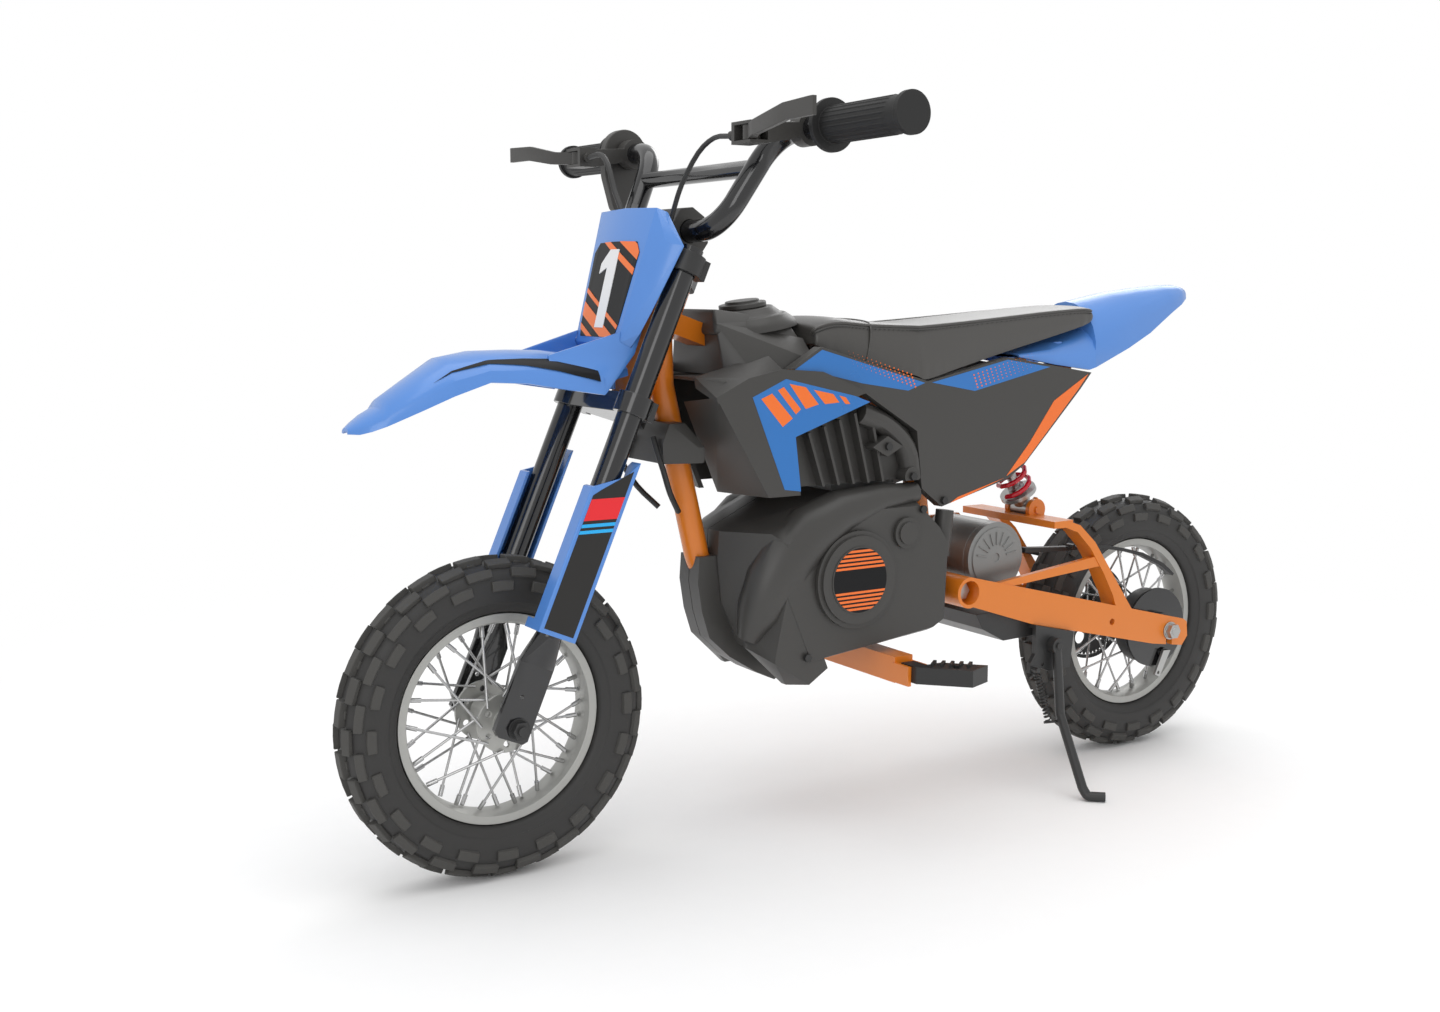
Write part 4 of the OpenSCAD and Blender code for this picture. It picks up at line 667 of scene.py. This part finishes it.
def buildGuardStickers():
    inset = [(-8.3, 99), (24.5, 99), (24.5, 232), (18, 240), (-8.3, 268)]
    guardSticker("guardInset", inset, "charcoal", 0.6)
    for k, (z0, z1, kind) in enumerate(((210, 232, "red"), (203, 206.5, "sky"), (196.5, 200, "sky"))):
        stripe = [(-8.3, z0 + 10), (24.5, z0 - 4), (24.5, z1 - 4), (-8.3, z1 + 10)]
        guardSticker("guardStripe%d" % k, stripe, kind, 0.8)


plateMesh = frame["nodes"]["number_plate"].data
plateTree = BVHTree.FromPolygons([v.co[:] for v in plateMesh.vertices],
                                 [p.vertices[:] for p in plateMesh.polygons])


def plateFace(u, v, lift):
    # where a line along the fork's forward axis meets the plate's front, and lift above it
    start = Vector(forkPoint(150, u, v)) * mm
    ahead = Vector(forkPoint(1, 0, 0)) - Vector(forkPoint(0, 0, 0))
    hit = plateTree.ray_cast(start, -ahead)[0]
    return np.array((hit + ahead * lift * mm) / mm)


def platePatch(name, outline, kind, lift):
    parts = []
    for u0 in range(-57, 57, 3):           # narrow strips, so that each lies along its own facet
        q = cut(outline, np.array([1.0, 0]), (u0, u0 + 3))
        if len(q) > 2:
            parts.append(prism(np.array([plateFace(u, v, -0.8) for u, v in q]),
                               np.array([plateFace(u, v, lift) for u, v in q])))
    addPiece(name, parts, stickers[kind], "steering", sharp=30)


def buildPlateStickers():
    panel = [(-35, 385), (35, 385), (39, 398), (46, 470), (38, 480), (-38, 480), (-46, 470), (-39, 398)]
    platePatch("plateField", panel, "black", 0.7)
    lean = np.array([0.42, 0.907])
    for k, (a, b) in enumerate(((340, 345), (352, 364), (372, 376), (424, 430), (438, 450))):
        bar = cut(panel, lean, (a, b))
        if len(bar) > 2:
            platePatch("plateBar%d" % k, bar, "orange", 1.0)
    # the plain figure 1: an upright and a short flag, each a convex shape
    platePatch("plateFigure", [(-8, 394), (10, 394), (10, 472), (-8, 472)], "white", 1.3)
    platePatch("plateFlag", [(-8, 472), (-8, 454), (-22, 448), (-22, 458)], "white", 1.3)


clutchDisc = {"x": 52, "z": 272, "radius": 34.5, "bars": 15, "firstBar": 31.6, "pitch": 4.4,
              "bar": 2.5, "bandHalf": 9.5}


def buildClutchSticker():
    c = clutchDisc
    turns = np.linspace(0, 2 * np.pi, 64, endpoint=False)
    disc = [(c["x"] + c["radius"] * math.cos(a), c["z"] + c["radius"] * math.sin(a)) for a in turns]
    sticker("clutchDisc", disc, "black", faceY["disc"], "frame", 0.2)
    across = np.array([0.0, 1.0])
    for k in range(c["bars"]):
        z = c["z"] - c["firstBar"] + k * c["pitch"]
        if abs(z + 1.2 - c["z"]) < c["bandHalf"]:
            continue                           # the middle band stays plain
        bar = cut(disc, across, (z, z + c["bar"]))
        if len(bar) > 2:
            sticker("clutchBar%d" % k, bar, "orange", faceY["disc"] + 0.1, "frame", 0.3)


def buildFenderStripe():
    # the stripe lies just off the fender's own flank:
    # y = w cos a, z = edge + (crown - edge) times sin a to the power 0.7
    # sections of the fender under the stripe: x, edge height, crown height, half width
    rows = np.array([[510, 466, 494, 38], [482, 478, 512, 43], [448, 490, 517.6, 49],
                     [412, 488, 518, 51], [378, 482, 517, 53], [346, 477, 513, 56],
                     [334, 475, 511, 57]], float)
    x = np.linspace(500, 338, 46)
    edge, crown, w = (np.interp(x, rows[::-1, 0], rows[::-1, k]) for k in (1, 2, 3))
    thick = np.interp(x, [338, 360, 420, 500], [0.30, 0.27, 0.13, 0.0])
    mid = np.interp(x, [338, 380, 440, 500], [0.50, 0.56, 0.60, 0.55])
    grid = []
    for s in np.linspace(-1, 1, 5):
        a = mid + thick * s
        grid.append(np.stack([x, w * np.cos(a) + 0.45,
                              edge + (crown - edge) * np.sin(a) ** 0.7 + 0.45], -1))
    part = patchPart(np.array(grid).transpose(1, 0, 2))
    addPiece("fenderStripe", [part, mirrored(part)], stickers["black"], "steering",
             outward=False)


# ---- tank dome under the filler cap ----

tankDome = {"centre": (140, 0, 546), "tilt": 8,
            "rings": [[58, -14], [56, -8], [48, -1.5], [45, 0.6], [40, 2.0], [33, 7.6], [31, 9.2],
                      [27, 9.7]],
            "squash": 0.82}


def buildDome():
    # rings of radius and height turned about the cap's tilted axis, narrower across than along:
    # x = r cos a, y = r sin a times the narrowing, z = height, then all tilted about Y
    q = smoothPath(tankDome["rings"], 4)
    a = np.linspace(0, 2 * np.pi, 72, endpoint=False)
    narrow = 1 - (1 - tankDome["squash"]) * np.clip((q[:, 0] - 30) / 28, 0, 1)
    x = q[None, :, 0] * np.cos(a)[:, None]
    y = q[None, :, 0] * np.sin(a)[:, None] * narrow[None]
    z = np.broadcast_to(q[None, :, 1], x.shape)
    t = math.radians(tankDome["tilt"])
    pts = np.stack([x * math.cos(t) + z * math.sin(t), y, z * math.cos(t) - x * math.sin(t)], -1)
    pts = pts + tankDome["centre"]
    addPiece("tankDome", [patchPart(pts, loopRows=True), capPart(pts[:, -1]), capPart(pts[:, 0])],
             look["charcoal"], "frame", sharp=40)


buildDome()
buildSeat()
buildGrips()
buildShroudStickers()
buildPanelStickers()
buildGuardStickers()
buildPlateStickers()
buildClutchSticker()
buildFenderStripe()
print("seat, grips and stickers ready")

# ---- floor, light and camera ----

studio = {
    "eye": (1.03966, 1.39457, 0.57723), "yaw": 31.97, "down": 7.91, "lens": 39.38,
    "key": 38.0, "side": 12.0, "back": 12.0, "fill": 0.80, "floorReach": 1.6,
}


def buildFloor():
    mesh = bpy.data.meshes.new("floor")
    a = np.linspace(0, 2 * np.pi, 96, endpoint=False)
    ring = np.stack([6 * np.cos(a), 6 * np.sin(a), 0 * a], -1)
    mesh.from_pydata(ring.tolist(), [], [list(range(96))])
    floor = bpy.data.objects.new("floor", mesh)
    bpy.context.scene.collection.objects.link(floor)
    m = bpy.data.materials.new("paleFloor")
    m.use_nodes = True
    t = m.node_tree
    t.nodes.clear()
    place = linked(t, "ShaderNodeTexCoord").outputs["Object"]
    far = linked(t, "ShaderNodeVectorMath", [(0, place)], operation="LENGTH").outputs["Value"]
    fade = linked(t, "ShaderNodeMapRange",
                  [("Value", far), ("From Min", 0.75), ("From Max", studio["floorReach"])],
                  interpolation_type="SMOOTHSTEP").outputs[0]
    fleck = linked(t, "ShaderNodeTexNoise", [("Vector", place), ("Scale", 40.0)]).outputs["Fac"]
    tone = linked(t, "ShaderNodeMapRange",
                  [("Value", fleck), ("To Min", 0.96), ("To Max", 0.98)]).outputs[0]
    matt = linked(t, "ShaderNodeBsdfDiffuse", [("Color", tone)])
    clear = linked(t, "ShaderNodeBsdfTransparent")
    mix = linked(t, "ShaderNodeMixShader", [(0, fade), (1, matt.outputs[0]), (2, clear.outputs[0])])
    linked(t, "ShaderNodeOutputMaterial", [(0, mix.outputs[0])])
    mesh.materials.append(m)


def buildWorld():
    world = bpy.data.worlds.new("paleRoom")
    bpy.context.scene.world = world
    world.use_nodes = True
    t = world.node_tree
    t.nodes.clear()
    ray = linked(t, "ShaderNodeLightPath")
    seen = linked(t, "ShaderNodeMath",
                  [(0, ray.outputs["Is Camera Ray"]), (1, ray.outputs["Is Transmission Ray"])],
                  operation="MAXIMUM")
    white = linked(t, "ShaderNodeBackground", [("Color", (1, 1, 1, 1)), ("Strength", 1.0)])
    soft = linked(t, "ShaderNodeBackground", [("Color", (1, 1, 1, 1)), ("Strength", studio["fill"])])
    mix = linked(t, "ShaderNodeMixShader",
                 [(0, seen.outputs[0]), (1, soft.outputs[0]), (2, white.outputs[0])])
    linked(t, "ShaderNodeOutputWorld", [(0, mix.outputs[0])])


def areaLight(name, at, aim, width, height, power):
    lamp = bpy.data.lights.new(name, "AREA")
    lamp.shape = "RECTANGLE"
    lamp.size, lamp.size_y, lamp.energy = width, height, power
    obj = bpy.data.objects.new(name, lamp)
    bpy.context.scene.collection.objects.link(obj)
    obj.location = at
    obj.rotation_euler = (Vector(aim) - Vector(at)).to_track_quat("-Z", "Y").to_euler()


def buildCamera():
    cam = bpy.data.cameras.new("camera")
    cam.lens, cam.sensor_width, cam.sensor_fit = studio["lens"], 36.0, "HORIZONTAL"
    cam.clip_start, cam.clip_end = 0.05, 50
    obj = bpy.data.objects.new("camera", cam)
    bpy.context.scene.collection.objects.link(obj)
    yaw, down = math.radians(studio["yaw"]), math.radians(studio["down"])
    ahead = Vector((-math.sin(yaw) * math.cos(down), -math.cos(yaw) * math.cos(down), -math.sin(down)))
    obj.location = studio["eye"]
    obj.rotation_euler = ahead.to_track_quat("-Z", "Y").to_euler()
    bpy.context.scene.camera = obj


buildFloor()
buildWorld()
areaLight("ceiling", (0.1, 0.3, 3.2), (0, 0, 0.3), 3.2, 3.2, studio["key"])
areaLight("sideGlow", (2.2, 2.2, 1.3), (0, 0, 0.35), 1.2, 1.6, studio["side"])
areaLight("rearGlow", (-2.2, -1.6, 1.8), (0, 0, 0.4), 1.6, 1.2, studio["back"])
buildCamera()
bpy.context.scene.view_settings.view_transform = "Standard"
print("studio ready")
